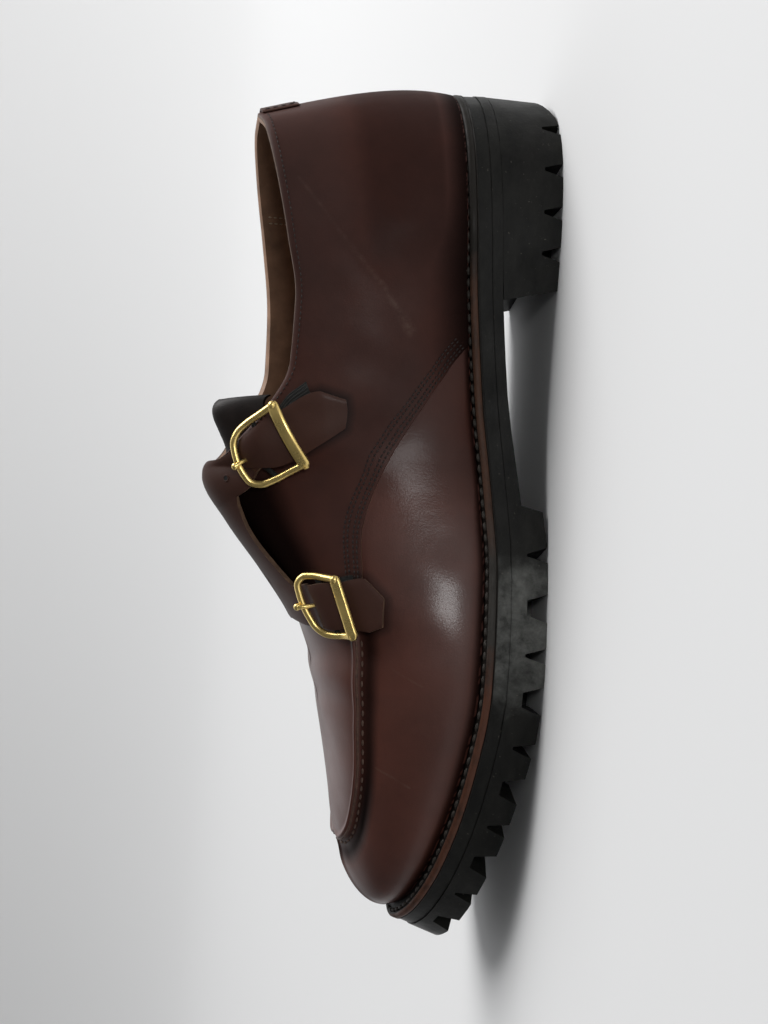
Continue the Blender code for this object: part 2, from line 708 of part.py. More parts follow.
def cross_bar(shape, share, tread):
    """Cut across the middle lugs, from one long channel to the other."""
    half = CHANNEL_WIDTH / 2
    ahead = np.array([0.0, half, 0.0])
    ends = []
    for side in (LATERAL, MEDIAL):
        low = sole_point(side, share, NOTCH_REACH, tread + CUT_OVER)
        high = sole_point(side, share, NOTCH_REACH, tread - LUG_DEPTH)
        ends.append([low - ahead, low + ahead, high + ahead, high - ahead])
    shape.grid([end + end[:1] for end in ends])
    for end in ends:
        shape.face(*end)


def cut(body, shape, name):
    """Take a shape away from a solid."""
    cutter = shape.build(name, body.data.materials[0])
    cutter.hide_render = True
    cutter.display_type = "WIRE"
    cutter.parent = body
    boolean = body.modifiers.new(name, "BOOLEAN")
    boolean.operation = "DIFFERENCE"
    boolean.solver = "EXACT"
    boolean.object = cutter


def make_heel(material):
    """Block under the heel, flat below, with a hollow breast."""
    shares = shares_between(0.0, HEEL_BREAST, HEEL_RUNGS)

    def plan(share, k):
        a, b = (edge_point(side, share, HEEL_INSET)[0] for side in (LATERAL, MEDIAL))
        point = a * (1 - k) + b * k
        point[1] -= BREAST_HOLLOW * (share / HEEL_BREAST) ** 3 * 4 * k * (1 - k)
        return point

    def top(share, k):
        x, y = plan(share + BREAST_SLANT * (share / HEEL_BREAST) ** BREAST_POWER, k)
        return sole_at(x, y, WELT_THICK + MIDSOLE_THICK + smooth(WEB_THICK, 1, y) + 2 * GAP)

    def bottom(share, k):
        x, y = plan(share, k)
        return np.array([x, y, smooth(HEEL_TREAD, 1, y)])
    heel = slab("heel", material, shares, top, bottom, HEEL_CELLS)
    notches = Shape()
    for share in HEEL_NOTCHES:
        for side in (LATERAL, MEDIAL):
            insets = (-CUT_OVER, HEEL_NOTCH_REACH)
            notch(notches, heel_place(side, share), insets, *HEEL_NOTCH, HEEL_LUG_DEPTH)
    cut(heel, notches, "heel_notches")
    return heel


def heel_place(side, share):
    """Places by inset, offset along the heel's edge and height over the floor."""
    _, out = edge_point(side, share)
    ahead = np.array([-out[1], out[0], 0.0])

    def at(inset, offset, height):
        x, y = edge_point(side, share, inset)[0]
        return np.array([x, y, height]) + ahead * offset
    return at


def upper_columns(side):
    """Sections of the wall: each gives its edge share at a rise and whether the quarter lies there."""
    peak = PEAK / quarter_edge(side, 1.0)
    parts = np.concatenate([np.linspace(0.0, peak, COLLAR_COLUMNS), np.linspace(peak, 1.0, FLAP_COLUMNS)[1:]])
    behind = [(x, True) for x in parts]
    ahead = [(x, False) for x in np.linspace(0.0, 1.0, VAMP_COLUMNS)]

    def share_at(part, behind_edge):
        def at(rise):
            edge = quarter_edge(side, rise)
            if behind_edge:
                return edge * part
            return min(edge + (1.0 - TOE_RIDGE_HALF - edge) * part, 1.0)
        return at
    columns = [(share_at(part, flag), flag) for part, flag in behind + ahead]
    columns.append((lambda rise: 1.0, False))
    return columns


def seam_rises(share):
    """Rises of the outer skin's rows, three of them on the apron's seam."""
    seam = smooth(APRON_SEAM, 1, share)
    low, high = seam - APRON_RIDGE_HALF, min(seam + APRON_RIDGE_HALF, APRON_TOP)
    above = OUTER_ROWS - SEAM_ROW - 1
    return np.concatenate([np.linspace(0.0, low, SEAM_ROW), [seam], np.linspace(high, 1.0, above)])


def row_rise(row, share, outer):
    if outer:
        return seam_rises(share)[row]
    return row / (INNER_ROWS - 1)


def solve_column(column, row, outer):
    """Edge share and rise where a section crosses a row: the two depend on each other."""
    rise = row / (OUTER_ROWS if outer else INNER_ROWS)
    for _ in range(SOLVE_ROUNDS):
        share = column(rise)
        rise = 0.5 * rise + 0.5 * row_rise(row, share, outer)
    return column(rise), rise


def wall_relief(share, rise, row, on_quarter):
    """Height of the outer skin over the last: quarter step, apron seam and split toe seam."""
    if on_quarter:
        under_flap = ramp(rise, *FLAP_FADE_RISE) * ramp(share, PEAK, PEAK + FLAP_FADE_SHARE)
        return QUARTER_STEP + (RIDGE_STEP - QUARTER_STEP) * under_flap
    lift = 0.0
    if row == SEAM_ROW:
        lift = APRON_RIDGE
    if share >= 1.0 and row < SEAM_ROW and row > 0:
        lift = TOE_RIDGE
    return lift


def make_upper(material):
    """One hollow wall, open at the collar and underneath."""
    shape = Shape()
    skins = {}
    for side in (LATERAL, MEDIAL):
        for outer in (True, False):
            rows = OUTER_ROWS if outer else INNER_ROWS
            skin = []
            for column, on_quarter in upper_columns(side):
                line = []
                for row in range(rows):
                    if row in (0, rows - 1):
                        rise = 0.0 if row == 0 else 1.0
                        share = column(rise)
                    else:
                        share, rise = solve_column(column, row, outer)
                    if outer:
                        lift = wall_relief(share, rise, row, on_quarter)
                    else:
                        lift = -WALL
                    line.append(wall_point(side, share, rise, lift))
                skin.append(line)
            skins[side, outer] = skin
            shape.grid(skin)
        outside, inside = skins[side, True], skins[side, False]
        shape.grid([[line[0] for line in outside], [line[0] for line in inside]])
        collar = [i for i, (column, _) in enumerate(upper_columns(side)) if column(1.0) <= PEAK + TINY]
        shape.grid([[outside[i][-1] for i in collar], [inside[i][-1] for i in collar]])
    return shape.build("upper", material)


def wall_point(side, share, rise, lift):
    """Point of the wall; its foot stays level on the welt."""
    point = upper_point(side, share, rise, lift)
    if rise == 0.0:
        point = base_point(side, share, 0.0)
        _, out = edge_point(side if 0.0 < share < 1.0 else LATERAL, share)
        point[:2] += out * lift
        point[2] = smooth(WELT_TOP, 1, point[1]) + GAP
    return point


def make_tongue(material):
    """Sheet under the instep: close under the vamp in front, standing out of the collar behind."""
    shape = Shape()
    rises = np.linspace(TONGUE_EDGE, 1.0, TONGUE_ROWS)
    across = [(LATERAL, r) for r in rises] + [(MEDIAL, r) for r in rises[-2::-1]]

    def arch(row, depth):
        share, under, back, lift, width, sweep = row
        line = []
        for side, rise in across:
            point = upper_point(side, share, rise, -(WALL + under + depth))
            point[0] *= width
            point[1] -= back + sweep * ((1.0 - rise) / (1.0 - TONGUE_EDGE)) ** SWEEP_POWER
            point[2] += lift
            line.append(point)
        return line
    outer = [arch(row, 0.0) for row in TONGUE]
    inner = [arch(row, TONGUE_THICK) for row in TONGUE]
    shape.grid(outer)
    shape.grid(inner)
    for row in (0, -1):
        shape.grid([outer[row], inner[row]])
    for column in (0, -1):
        shape.grid([[line[column] for line in outer], [line[column] for line in inner]])
    return shape.build("tongue", material)


def sheet(name, material, cells, outer, inner):
    """Closed solid between two skins over a set of grid cells."""
    shape = Shape()
    uses = {}
    for i, j in cells:
        corners = ((i, j), (i + 1, j), (i + 1, j + 1), (i, j + 1))
        for skin in (outer, inner):
            shape.patch(*(skin[c] for c in corners))
        for a, b in zip(corners, corners[1:] + corners[:1]):
            key = (min(a, b), max(a, b))
            uses[key] = uses.get(key, 0) + 1
    for (a, b), count in uses.items():
        if count == 1:
            shape.patch(outer[a], outer[b], inner[b], inner[a])
    return shape.build(name, material)


def strap_place(table, run, k):
    """Edge share, rise and underside of a strap at a run from the ridge and k from rear to front."""
    rear_share, rear_rise, front_share, front_rise, under = (smooth(table, c, run) for c in range(1, 6))
    return rear_share + (front_share - rear_share) * k, rear_rise + (front_rise - rear_rise) * k, under


def flap_places():
    """Side, edge share, rise, underside and thickness at each grid point of the flap and its straps."""
    places = {}
    ridge = [strap_place(STRAP_UPPER, 0.0, k / STRAP_CELLS)[0] for k in range(STRAP_CELLS + 1)]
    last = [strap_place(STRAP_LOWER, 0.0, k / STRAP_CELLS)[0] for k in range(STRAP_CELLS + 1)]
    ridge += list(np.linspace(ridge[-1], last[0], CUT_CELLS + 1)[1:-1]) + last
    spread = (np.array(ridge) - ridge[0]) / (ridge[-1] - ridge[0])
    for j in range(RIDGE_ROW + 1):
        run = 1.0 - j / RIDGE_ROW
        rise, rear, front, low_rear, low_front, thick = (smooth(FLAP_INNER_SIDE, c, run) for c in range(1, 7))
        for i, at in enumerate(spread):
            under = low_rear + (low_front - low_rear) * at
            places[i, j] = (MEDIAL, rear + (front - rear) * at, rise, under, thick)
    for step, run in enumerate(BODY_RUN + STRAP_RUN, 1):
        j = RIDGE_ROW + step
        for table, first in ((STRAP_UPPER, 0), (STRAP_LOWER, STRAP_CELLS + CUT_CELLS)):
            for k in range(STRAP_CELLS + 1):
                places[first + k, j] = (LATERAL, *strap_place(table, run, k / STRAP_CELLS), LEATHER)
        if step <= len(BODY_RUN):
            a, b = strap_place(STRAP_UPPER, run, 1.0), strap_place(STRAP_LOWER, run, 0.0)
            for k in range(1, CUT_CELLS):
                t = k / CUT_CELLS
                share, rise, under = (x + (y - x) * t for x, y in zip(a, b))
                hollow = CUT_DEPTH * step / len(BODY_RUN) * 4 * t * (1 - t)
                places[STRAP_CELLS + k, j] = (LATERAL, share, rise + hollow, under, LEATHER)
    return places


def make_flap(material):
    """The inner quarter's flap with both straps, in one piece."""
    places = flap_places()
    outer, inner = {}, {}
    for corner, (side, share, rise, under, thick) in places.items():
        outer[corner] = upper_point(side, share, rise, under + thick)
        inner[corner] = upper_point(side, share, rise, under)
    cells = [(i, j) for i, j in places if all(c in places for c in ((i + 1, j), (i, j + 1), (i + 1, j + 1)))]
    flap = sheet("monk_flap", material, cells, outer, inner)
    holes = Shape()
    for buckle in (BUCKLE_UPPER, BUCKLE_LOWER):
        along, lean, up = frame_axes(buckle)
        middle = middle_line(buckle, PRONG_HOLE_PLACE)
        turns = np.linspace(0.0, 2 * math.pi, FRAME_SIDES + 1)
        half, reach = PRONG_HOLE
        loop = [middle + along * half * math.cos(a) + lean * reach * math.sin(a) for a in turns]
        ends = [[point + up * height for point in loop] for height in (-CUT_OVER, 2 * CUT_OVER)]
        holes.grid(ends)
        for end in ends:
            holes.face(*end[:-1])
    cut(flap, holes, "prong_holes")
    return flap


def frame_axes(buckle):
    """Directions of a buckle: along the bar, from bar to curve, and out of its plane."""
    corners = [upper_point(LATERAL, *place) for place in buckle["bar"] + buckle["curve"]]
    along = corners[1] - corners[0] + corners[3] - corners[2]
    lean = corners[2] - corners[0] + corners[3] - corners[1]
    along /= np.linalg.norm(along)
    up = np.cross(lean, along)
    up /= np.linalg.norm(up)
    if up[2] < 0.0:
        up = -up
    return along, np.cross(up, along), up


def frame_point(buckle, u, v):
    """Point on a buckle's bowed middle sheet: u along the bar, v from bar to curve."""
    a, b, c, d = (upper_point(LATERAL, *place) for place in buckle["bar"] + buckle["curve"])
    flat = a * (1 - u) * (1 - v) + b * u * (1 - v) + c * (1 - u) * v + d * u * v
    bow = (buckle["bar_bow"] * (1 - v) + buckle["curve_bow"] * v) * 4 * u * (1 - u)
    return flat + frame_axes(buckle)[2] * (bow - buckle["dip"] * 4 * v * (1 - v))


def tube(shape, path, sizes, up, closed):
    """Skin of a bar along a path; sizes are the half width and half thickness at each point."""
    path = [np.asarray(p, float) for p in path]
    count = len(path)
    rings = []
    for i, point in enumerate(path):
        ahead = path[(i + 1) % count] if closed or i + 1 < count else point
        behind = path[i - 1] if closed or i > 0 else point
        run = ahead - behind
        run /= np.linalg.norm(run)
        side = np.cross(run, up)
        side /= np.linalg.norm(side)
        top = np.cross(side, run)
        half, thick = sizes[i]
        ring = [point + side * half * math.cos(a) + top * thick * math.sin(a)
                for a in np.linspace(0.0, 2 * math.pi, FRAME_SIDES, endpoint=False)]
        rings.append(ring + ring[:1])
    shape.grid(rings, closed)
    if not closed:
        for ring in (rings[0], rings[-1]):
            shape.face(*ring[:-1])


def make_buckle(name, buckle, material):
    """Frame in one piece with its middle bar."""
    up = frame_axes(buckle)[2]
    ring, bar = Shape(), Shape()
    sizes = [FRAME_BAR if v == 0.0 else (FRAME_STOCK, FRAME_STOCK) for u, v in FRAME_PATH]
    tube(ring, [frame_point(buckle, u, v) for u, v in FRAME_PATH], sizes, up, True)
    frame = ring.build(name, material)
    line = [middle_bar(buckle, u) for u in MIDDLE_BAR_PLACES]
    tube(bar, line, [(MIDDLE_BAR, MIDDLE_BAR)] * len(line), up, False)
    join = bar.build(name + "_middle_bar", material)
    join.hide_render = True
    join.display_type = "WIRE"
    join.parent = frame
    union = frame.modifiers.new("middle_bar", "BOOLEAN")
    union.operation = "UNION"
    union.solver = "EXACT"
    union.object = join
    return frame


def middle_bar(buckle, u):
    """Point of the middle bar, which follows the quarter between the frame's sides."""
    if u in (0.0, 1.0):
        return frame_point(buckle, u, 0.5)
    corners = np.array(buckle["bar"] + buckle["curve"])
    rear, front = (corners[0] + corners[2]) / 2, (corners[1] + corners[3]) / 2
    share, rise, _ = rear * (1 - u) + front * u
    return upper_point(LATERAL, share, rise, MIDDLE_BAR_LIFT)


def middle_line(buckle, v):
    """Point over the middle of a buckle from its middle bar to its curve, without the frame's bow."""
    a, b = middle_bar(buckle, 0.5), frame_point(buckle, 0.5, 1.0)
    return a + (b - a) * (v - 0.5) / 0.5


def make_prong(name, buckle, material):
    """Pin from the middle bar through the strap's hole and over the curve."""
    shape = Shape()
    along, lean, up = frame_axes(buckle)
    path = [middle_line(buckle, v) + up * height for v, height, _ in PRONG]
    tube(shape, path, [(radius, radius * PRONG_FLAT) for _, _, radius in PRONG], along, False)
    return shape.build(name, material)


def make_tab(name, rows, material):
    """Flat strip on the outer quarter, under the strap and the middle bar."""
    places = {}
    for j, (rear_share, rear_rise, front_share, front_rise) in enumerate(rows):
        for k in range(STRAP_CELLS + 1):
            t = k / STRAP_CELLS
            share = rear_share + (front_share - rear_share) * t
            places[k, j] = (share, rear_rise + (front_rise - rear_rise) * t)
    outer = {c: upper_point(LATERAL, *place, TAB_LIFT + TAB_THICK) for c, place in places.items()}
    inner = {c: upper_point(LATERAL, *place, TAB_LIFT) for c, place in places.items()}
    cells = [(k, j) for j in range(len(rows) - 1) for k in range(STRAP_CELLS)]
    return sheet(name, material, cells, outer, inner)


def make_heel_tab(material):
    """Small cover over the top of the back seam."""
    across, tall = HEEL_TAB_CELLS
    places = {}
    for i in range(across + 1):
        place = (2.0 * i / across - 1.0) * HEEL_TAB_SHARE
        for j in range(tall + 1):
            rise = HEEL_TAB_LOW + (HEEL_TAB_HIGH - HEEL_TAB_LOW) * j / tall
            places[i, j] = (LATERAL if place <= 0.0 else MEDIAL, abs(place), rise)
    outer = {c: upper_point(*place, QUARTER_STEP + GAP + HEEL_TAB_THICK) for c, place in places.items()}
    inner = {c: upper_point(*place, QUARTER_STEP + GAP) for c, place in places.items()}
    return sheet("heel_tab", material, [(i, j) for i in range(across) for j in range(tall)], outer, inner)


def clear_scene():
    for item in list(bpy.data.objects):
        bpy.data.objects.remove(item, do_unlink=True)


def main():
    clear_scene()
    rubber = finish("black_rubber", (0.030, 0.030, 0.027), 0.55)
    welt_leather = finish("welt_leather", (0.090, 0.050, 0.028), 0.5)
    leather = finish("oxblood_leather", (0.052, 0.018, 0.014), 0.28)
    tongue_leather = finish("tongue_leather", (0.020, 0.012, 0.010), 0.5)
    lining = finish("lining_leather", (0.190, 0.100, 0.055), 0.6)
    elastic = finish("black_elastic", (0.020, 0.021, 0.019), 0.8)
    brass = finish("brass", (0.620, 0.470, 0.180), 0.25, 1.0)
    make_heel(rubber)
    make_outsole(rubber)
    make_midsole(rubber)
    make_welt(welt_leather)
    make_insole(lining)
    make_upper(leather)
    make_tongue(tongue_leather)
    make_flap(leather)
    make_buckle("buckle_upper", BUCKLE_UPPER, brass)
    make_buckle("buckle_lower", BUCKLE_LOWER, brass)
    make_prong("prong_upper", BUCKLE_UPPER, brass)
    make_prong("prong_lower", BUCKLE_LOWER, brass)
    make_tab("buckle_tab_upper", TAB_UPPER, elastic)
    make_tab("buckle_tab_lower", TAB_LOWER, elastic)
    make_heel_tab(leather)


main()
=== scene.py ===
"""Left double monk strap shoe, dressed for the photograph.

Lengths are millimetres in the shoe's own frame: toe to +Y, inner side to +X, floor at Z = 0. A place on the
upper is (side, edge share, rise): the share runs from the heel's back (0) to the toe's tip (1) along the
sole's edge, the rise from the welt (0) to the collar or the instep's ridge (1).
"""

import math

import bmesh
import bpy
import numpy as np
from mathutils import Matrix


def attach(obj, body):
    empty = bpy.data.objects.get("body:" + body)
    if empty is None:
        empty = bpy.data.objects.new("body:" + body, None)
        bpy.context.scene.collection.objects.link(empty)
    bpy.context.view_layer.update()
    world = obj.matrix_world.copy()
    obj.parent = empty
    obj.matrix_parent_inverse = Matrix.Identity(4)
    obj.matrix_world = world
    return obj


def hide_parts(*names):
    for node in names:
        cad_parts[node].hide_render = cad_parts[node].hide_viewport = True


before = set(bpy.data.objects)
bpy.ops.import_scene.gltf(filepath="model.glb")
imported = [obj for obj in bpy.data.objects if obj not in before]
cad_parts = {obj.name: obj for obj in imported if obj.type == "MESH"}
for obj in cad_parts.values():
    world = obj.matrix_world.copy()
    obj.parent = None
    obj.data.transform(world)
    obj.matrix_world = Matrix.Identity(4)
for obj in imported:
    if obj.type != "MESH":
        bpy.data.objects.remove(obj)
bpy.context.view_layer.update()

MM = 0.001
LATERAL, MEDIAL = -1, 1
GAP = 0.3
WALL = 2.2
LEATHER = 1.7
EDGE_ROUND = 0.3             # rounding of a sheet's cut edges
EDGE_THINNING = 0.3          # how much thinner a strap is at its sides
QUARTER_STEP = 1.1           # the quarter's height over the vamp
RIDGE_STEP = 0.2             # the same under the flap
PEAK = 0.465                 # edge share of the collar's front end
PEAK_BLEND = 0.12
FAIR_SHARES = (0.35, 0.41, 0.50, 0.56)
FAIR_RISES = (0.0, 0.12, 0.40, 0.62)
FAIR_STEPS = (-0.054, -0.036, -0.018, 0.018, 0.036, 0.054)
SOLE_BACK, SOLE_FRONT = -149.9, 144.6
WELT_THICK, MIDSOLE_THICK, HEEL_WEB, HEEL_BREAST = 3.0, 4.5, 3.5, 0.264
EDGE_LENGTH = 335.0          # length of the sole's edge on one side

SOLE_OUTLINE = np.array([
    # station, lateral, medial
    (0.000, 0.0, 0.0), (0.020, 17.0, 17.0), (0.070, 30.5, 29.5), (0.150, 37.0, 34.5), (0.270, 36.5, 32.0),
    (0.390, 37.0, 28.0), (0.490, 43.0, 31.0), (0.590, 50.5, 40.5), (0.670, 53.5, 47.5), (0.740, 52.5, 50.5),
    (0.810, 48.5, 49.5), (0.880, 40.5, 44.5), (0.940, 29.0, 35.0), (0.985, 13.0, 20.0), (1.000, -3.5, 3.5),
])
WELT_TOP = np.array([
    # along, height
    (-150.0, 34.5), (-117.0, 33.0), (-80.0, 30.4), (-40.0, 26.0), (-5.0, 21.8), (20.0, 20.0), (58.0, 20.0),
    (85.0, 22.7), (110.0, 26.8), (130.0, 31.6), (150.0, 38.6),
])
LEDGE = np.array([
    # edge share, width of welt outside the upper
    (0.00, 1.0), (0.12, 2.0), (0.25, 3.0), (0.40, 4.5), (0.60, 6.0), (0.80, 6.5), (1.00, 4.6),
])
UPPER_TOP = np.array([
    # edge share, lateral x, medial x, along, lateral height, medial height
    (0.000, 0.0, 0.0, -137.0, 103.0, 103.0), (0.070, -15.0, 15.0, -130.5, 101.5, 102.0),
    (0.140, -23.5, 23.5, -114.0, 97.5, 99.0), (0.210, -26.5, 26.5, -92.0, 92.5, 95.0),
    (0.280, -27.0, 27.0, -70.0, 88.5, 92.0), (0.340, -26.0, 26.0, -49.0, 88.8, 91.5),
    (0.390, -22.0, 22.0, -33.0, 95.5, 96.5), (0.430, -13.0, 13.0, -18.5, 105.5, 105.5),
    (0.465, 0.0, 0.0, -9.0, 111.0, 111.0), (0.510, 0.0, 0.0, 5.0, 102.5, 102.5),
    (0.570, 0.5, 0.5, 22.0, 89.0, 89.0), (0.630, 1.0, 1.0, 39.0, 77.0, 77.0),
    (0.700, 1.5, 1.5, 57.0, 71.0, 71.0), (0.780, 2.2, 2.2, 76.0, 66.0, 66.0),
    (0.870, 3.0, 3.0, 92.0, 62.4, 62.4), (0.940, 3.3, 3.3, 101.0, 60.8, 60.8),
    (1.000, 3.5, 3.5, 106.0, 60.0, 60.0),
])
UPPER_FULLNESS = np.array([
    # edge share, rise, lateral flare, medial flare, reach, drop
    (0.00, 22.0, 3.0, 3.0, 7.0, 24.0), (0.07, 22.0, 3.2, 3.2, 6.0, 24.0), (0.14, 21.0, 3.5, 3.5, 5.0, 23.0),
    (0.21, 19.0, 4.0, 4.0, 5.0, 20.0), (0.28, 18.0, 4.0, 6.0, 6.0, 18.0), (0.34, 18.0, 4.0, 8.0, 8.0, 18.0),
    (0.39, 18.0, 4.0, 8.5, 11.0, 18.0), (0.43, 19.0, 3.5, 8.5, 17.0, 11.0), (PEAK, 20.0, 3.0, 8.0, 21.0, 2.0),
    (0.51, 21.0, 3.0, 7.0, 22.0, 0.0), (0.57, 22.0, 3.0, 6.0, 25.0, 0.0), (0.63, 23.0, 3.0, 4.5, 29.0, 0.0),
    (0.70, 24.0, 2.5, 3.5, 33.0, 0.0), (0.78, 22.0, 2.5, 3.0, 33.0, 0.0), (0.87, 17.0, 3.0, 3.0, 29.0, 0.0),
    (0.94, 12.5, 3.3, 3.3, 26.0, 0.0), (1.00, 10.5, 3.5, 3.5, 24.0, 0.0),
])
QUARTER_EDGE = np.array([
    # rise, lateral edge share, medial edge share
    (0.00, 0.322, 0.300), (0.15, 0.352, 0.330), (0.28, 0.395, 0.370), (0.36, 0.450, 0.420),
    (0.42, 0.520, 0.480), (0.48, 0.590, 0.555), (0.60, 0.618, 0.600), (1.00, 0.630, 0.630),
])
APRON_SEAM = np.array([
    # edge share, rise
    (0.00, 0.560), (0.60, 0.560), (0.70, 0.590), (0.80, 0.610), (0.90, 0.690), (1.00, 0.870),
])
TONGUE = np.array([
    # run, section, clearance, shift back, shift up, width, sweep
    (0.00, 0.655, 0.85, 0.0, 0.0, 1.00, 0.0), (0.12, 0.620, 1.00, 0.0, 0.0, 1.00, 0.0),
    (0.26, 0.575, 1.50, 0.0, 0.0, 1.00, 0.0), (0.42, 0.530, 2.00, 0.0, 0.0, 0.98, 0.0),
    (0.56, 0.490, 2.60, 0.0, 0.0, 0.96, 0.0), (0.64, 0.468, 3.00, 0.0, 0.0, 0.94, 0.5),
    (0.74, 0.468, 3.00, 9.0, 0.8, 0.88, 1.5), (0.81, 0.468, 3.00, 15.0, 3.6, 0.83, 2.0),
    (0.88, 0.468, 3.00, 20.0, 6.1, 0.79, 2.4), (0.92, 0.468, 3.00, 22.4, 6.6, 0.77, 2.5),
    (0.95, 0.468, 3.00, 24.0, 6.4, 0.75, 2.6), (0.98, 0.468, 3.00, 25.6, 5.5, 0.73, 2.3),
    (1.00, 0.468, 3.00, 26.5, 4.4, 0.71, 2.0),
])
TONGUE_EDGE = 0.66           # rise of the tongue's two sides
SWEEP_POWER = 1.8            # how late the sweep sets in from the ridge to the sides
TONGUE_THICK = 1.8
FLAP_INNER_SIDE = np.array([
    # run from the ridge, rise, rear share, front share, underside at the rear, at the front, thickness
    (0.00, 1.00, 0.468, 0.630, 1.9, 0.8, LEATHER), (0.30, 0.90, 0.468, 0.628, 1.9, 1.2, LEATHER),
    (0.60, 0.80, 0.468, 0.620, 1.8, 1.4, 1.4), (0.80, 0.71, 0.467, 0.612, 1.6, 1.4, 0.9),
    (1.00, 0.62, 0.466, 0.602, 1.5, 1.4, 0.4),
])
STRAP_UPPER = np.array([
    # run from the ridge, rear share, rear rise, front share, front rise, underside
    (0.00, 0.468, 1.000, 0.500, 1.000, 1.8), (0.15, 0.456, 0.985, 0.499, 0.880, 2.4),
    (0.30, 0.445, 0.963, 0.492, 0.790, 2.6), (0.42, 0.434, 0.941, 0.483, 0.725, 2.4),
    (0.46, 0.428, 0.935, 0.477, 0.711, 2.6), (0.52, 0.420, 0.925, 0.469, 0.690, 4.4),
    (0.58, 0.412, 0.915, 0.460, 0.670, 4.9), (0.74, 0.392, 0.887, 0.436, 0.616, 2.5),
    (0.90, 0.373, 0.765, 0.425, 0.585, 2.4), (1.00, 0.382, 0.628, 0.412, 0.553, 1.7),
])
STRAP_LOWER = np.array([
    # run from the ridge, rear share, rear rise, front share, front rise, underside
    (0.00, 0.584, 1.000, 0.630, 1.000, 0.8), (0.15, 0.586, 0.880, 0.632, 0.900, 1.4),
    (0.30, 0.590, 0.760, 0.634, 0.790, 2.1), (0.42, 0.588, 0.700, 0.631, 0.700, 2.3),
    (0.46, 0.587, 0.680, 0.631, 0.680, 2.9), (0.52, 0.586, 0.649, 0.631, 0.651, 4.5),
    (0.58, 0.584, 0.618, 0.631, 0.622, 4.9), (0.74, 0.581, 0.535, 0.629, 0.535, 2.6),
    (0.90, 0.574, 0.445, 0.629, 0.470, 2.4), (1.00, 0.592, 0.390, 0.622, 0.416, 1.7),
])
CUT_DEPTH = 0.05             # how far the cut between the straps bends into the flap, by rise
TIP_RUN = 0.90               # run from which a strap's end is cut straight
BODY_END = 0.30              # run where the straps leave the flap
BUCKLE_UPPER = {
    "bar": ((0.388, 0.943, 5.8), (0.447, 0.587, 5.9)), "curve": ((0.421, 0.988, 6.6), (0.487, 0.712, 5.6)),
    "bar_bow": 1.9, "curve_bow": 0.7, "dip": 0.6,
}
BUCKLE_LOWER = {
    "bar": ((0.578, 0.542, 5.8), (0.635, 0.531, 5.8)), "curve": ((0.575, 0.705, 5.7), (0.641, 0.702, 5.8)),
    "bar_bow": 0.0, "curve_bow": 0.4, "dip": 1.2,
}
FRAME_CURVE = (
    # place on the frame's round rail: along the bar, from bar to curve
    (1.00, 0.00), (1.00, 0.30), (1.00, 0.60), (0.97, 0.80), (0.86, 0.95), (0.70, 1.00), (0.50, 1.02),
    (0.30, 1.00), (0.14, 0.95), (0.03, 0.80), (0.00, 0.60), (0.00, 0.30), (0.00, 0.00),
)
RAIL_SIZE, BAR_SIZE = (1.25, 1.15), np.array([[2.05], [1.0]])   # half width and half thickness
MIDDLE_BAR_RADIUS, MIDDLE_BAR_LIFT = 0.9, 3.3
BAR_KNOB, PRONG_KNOB = 1.6, 1.3                                 # radius of the round ends
PRONG = (
    # from the middle bar to past the curve, height, radius
    (0.66, -0.6, 0.70), (0.76, -0.2, 0.80), (0.86, 1.3, 0.90), (0.94, 2.1, 0.95), (1.00, 2.3, 1.05),
    (1.07, 2.2, 1.20), (1.11, 2.0, 0.80),
)
# Elastic strips from the buckle down: rear share and rise, front share and rise
TAB_UPPER = ((0.410, 0.915, 0.459, 0.668), (0.395, 0.922, 0.447, 0.640), (0.380, 0.921, 0.437, 0.612),
             (0.362, 0.868, 0.428, 0.594))
TAB_LOWER = ((0.583, 0.618, 0.612, 0.620), (0.580, 0.575, 0.606, 0.577), (0.576, 0.535, 0.598, 0.535),
             (0.572, 0.490, 0.588, 0.492))
TAB_LIFT, TAB_THICK, TAB_RIB = 1.4, 0.7, 0.12
HEEL_TAB_SHARE, HEEL_TAB_LOW, HEEL_TAB_HIGH, HEEL_TAB_THICK = 0.020, 0.80, 0.985, 0.9

CREASES = {
    # edge share, rise, turn in degrees, half length, half width, depth of the trough
    LATERAL: (
        (0.268, 0.50, -46.0, 42.0, 3.4, 0.09), (0.318, 0.34, -58.0, 14.0, 4.0, 0.30),
        (0.345, 0.52, -70.0, 16.0, 6.0, 0.30), (0.672, 0.84, 74.0, 20.0, 5.0, 0.75),
        (0.725, 0.82, 80.0, 20.0, 4.5, 0.50), (0.700, 0.46, 70.0, 14.0, 5.0, 0.25),
        (0.640, 0.36, 75.0, 16.0, 6.0, 0.20),
    ),
    MEDIAL: (
        (0.672, 0.84, 74.0, 20.0, 5.0, 0.55), (0.725, 0.82, 80.0, 20.0, 4.5, 0.35),
        (0.690, 0.50, 72.0, 16.0, 4.0, 0.35), (0.640, 0.40, 76.0, 18.0, 5.0, 0.35),
        (0.240, 0.48, -48.0, 30.0, 4.0, 0.30), (0.330, 0.58, -58.0, 22.0, 6.0, 0.30),
    ),
}
SCRATCHES = (
    # ends on the outer side by edge share and rise, height over the last, half width, strength
    ((0.150, 0.900), (0.213, 0.702), 1.1, 1.0, 0.30),
    ((0.213, 0.702), (0.262, 0.520), 1.1, 1.3, 0.55),
    ((0.262, 0.520), (0.310, 0.355), 1.1, 1.6, 0.80),
    ((0.296, 0.400), (0.312, 0.350), 1.1, 2.6, 1.00),
    ((0.775, 0.474), (0.778, 0.365), 0.0, 0.6, 0.90),
    ((0.778, 0.365), (0.784, 0.261), 0.0, 0.6, 0.70),
    ((0.663, 0.403), (0.675, 0.261), 0.0, 0.5, 0.65),
)

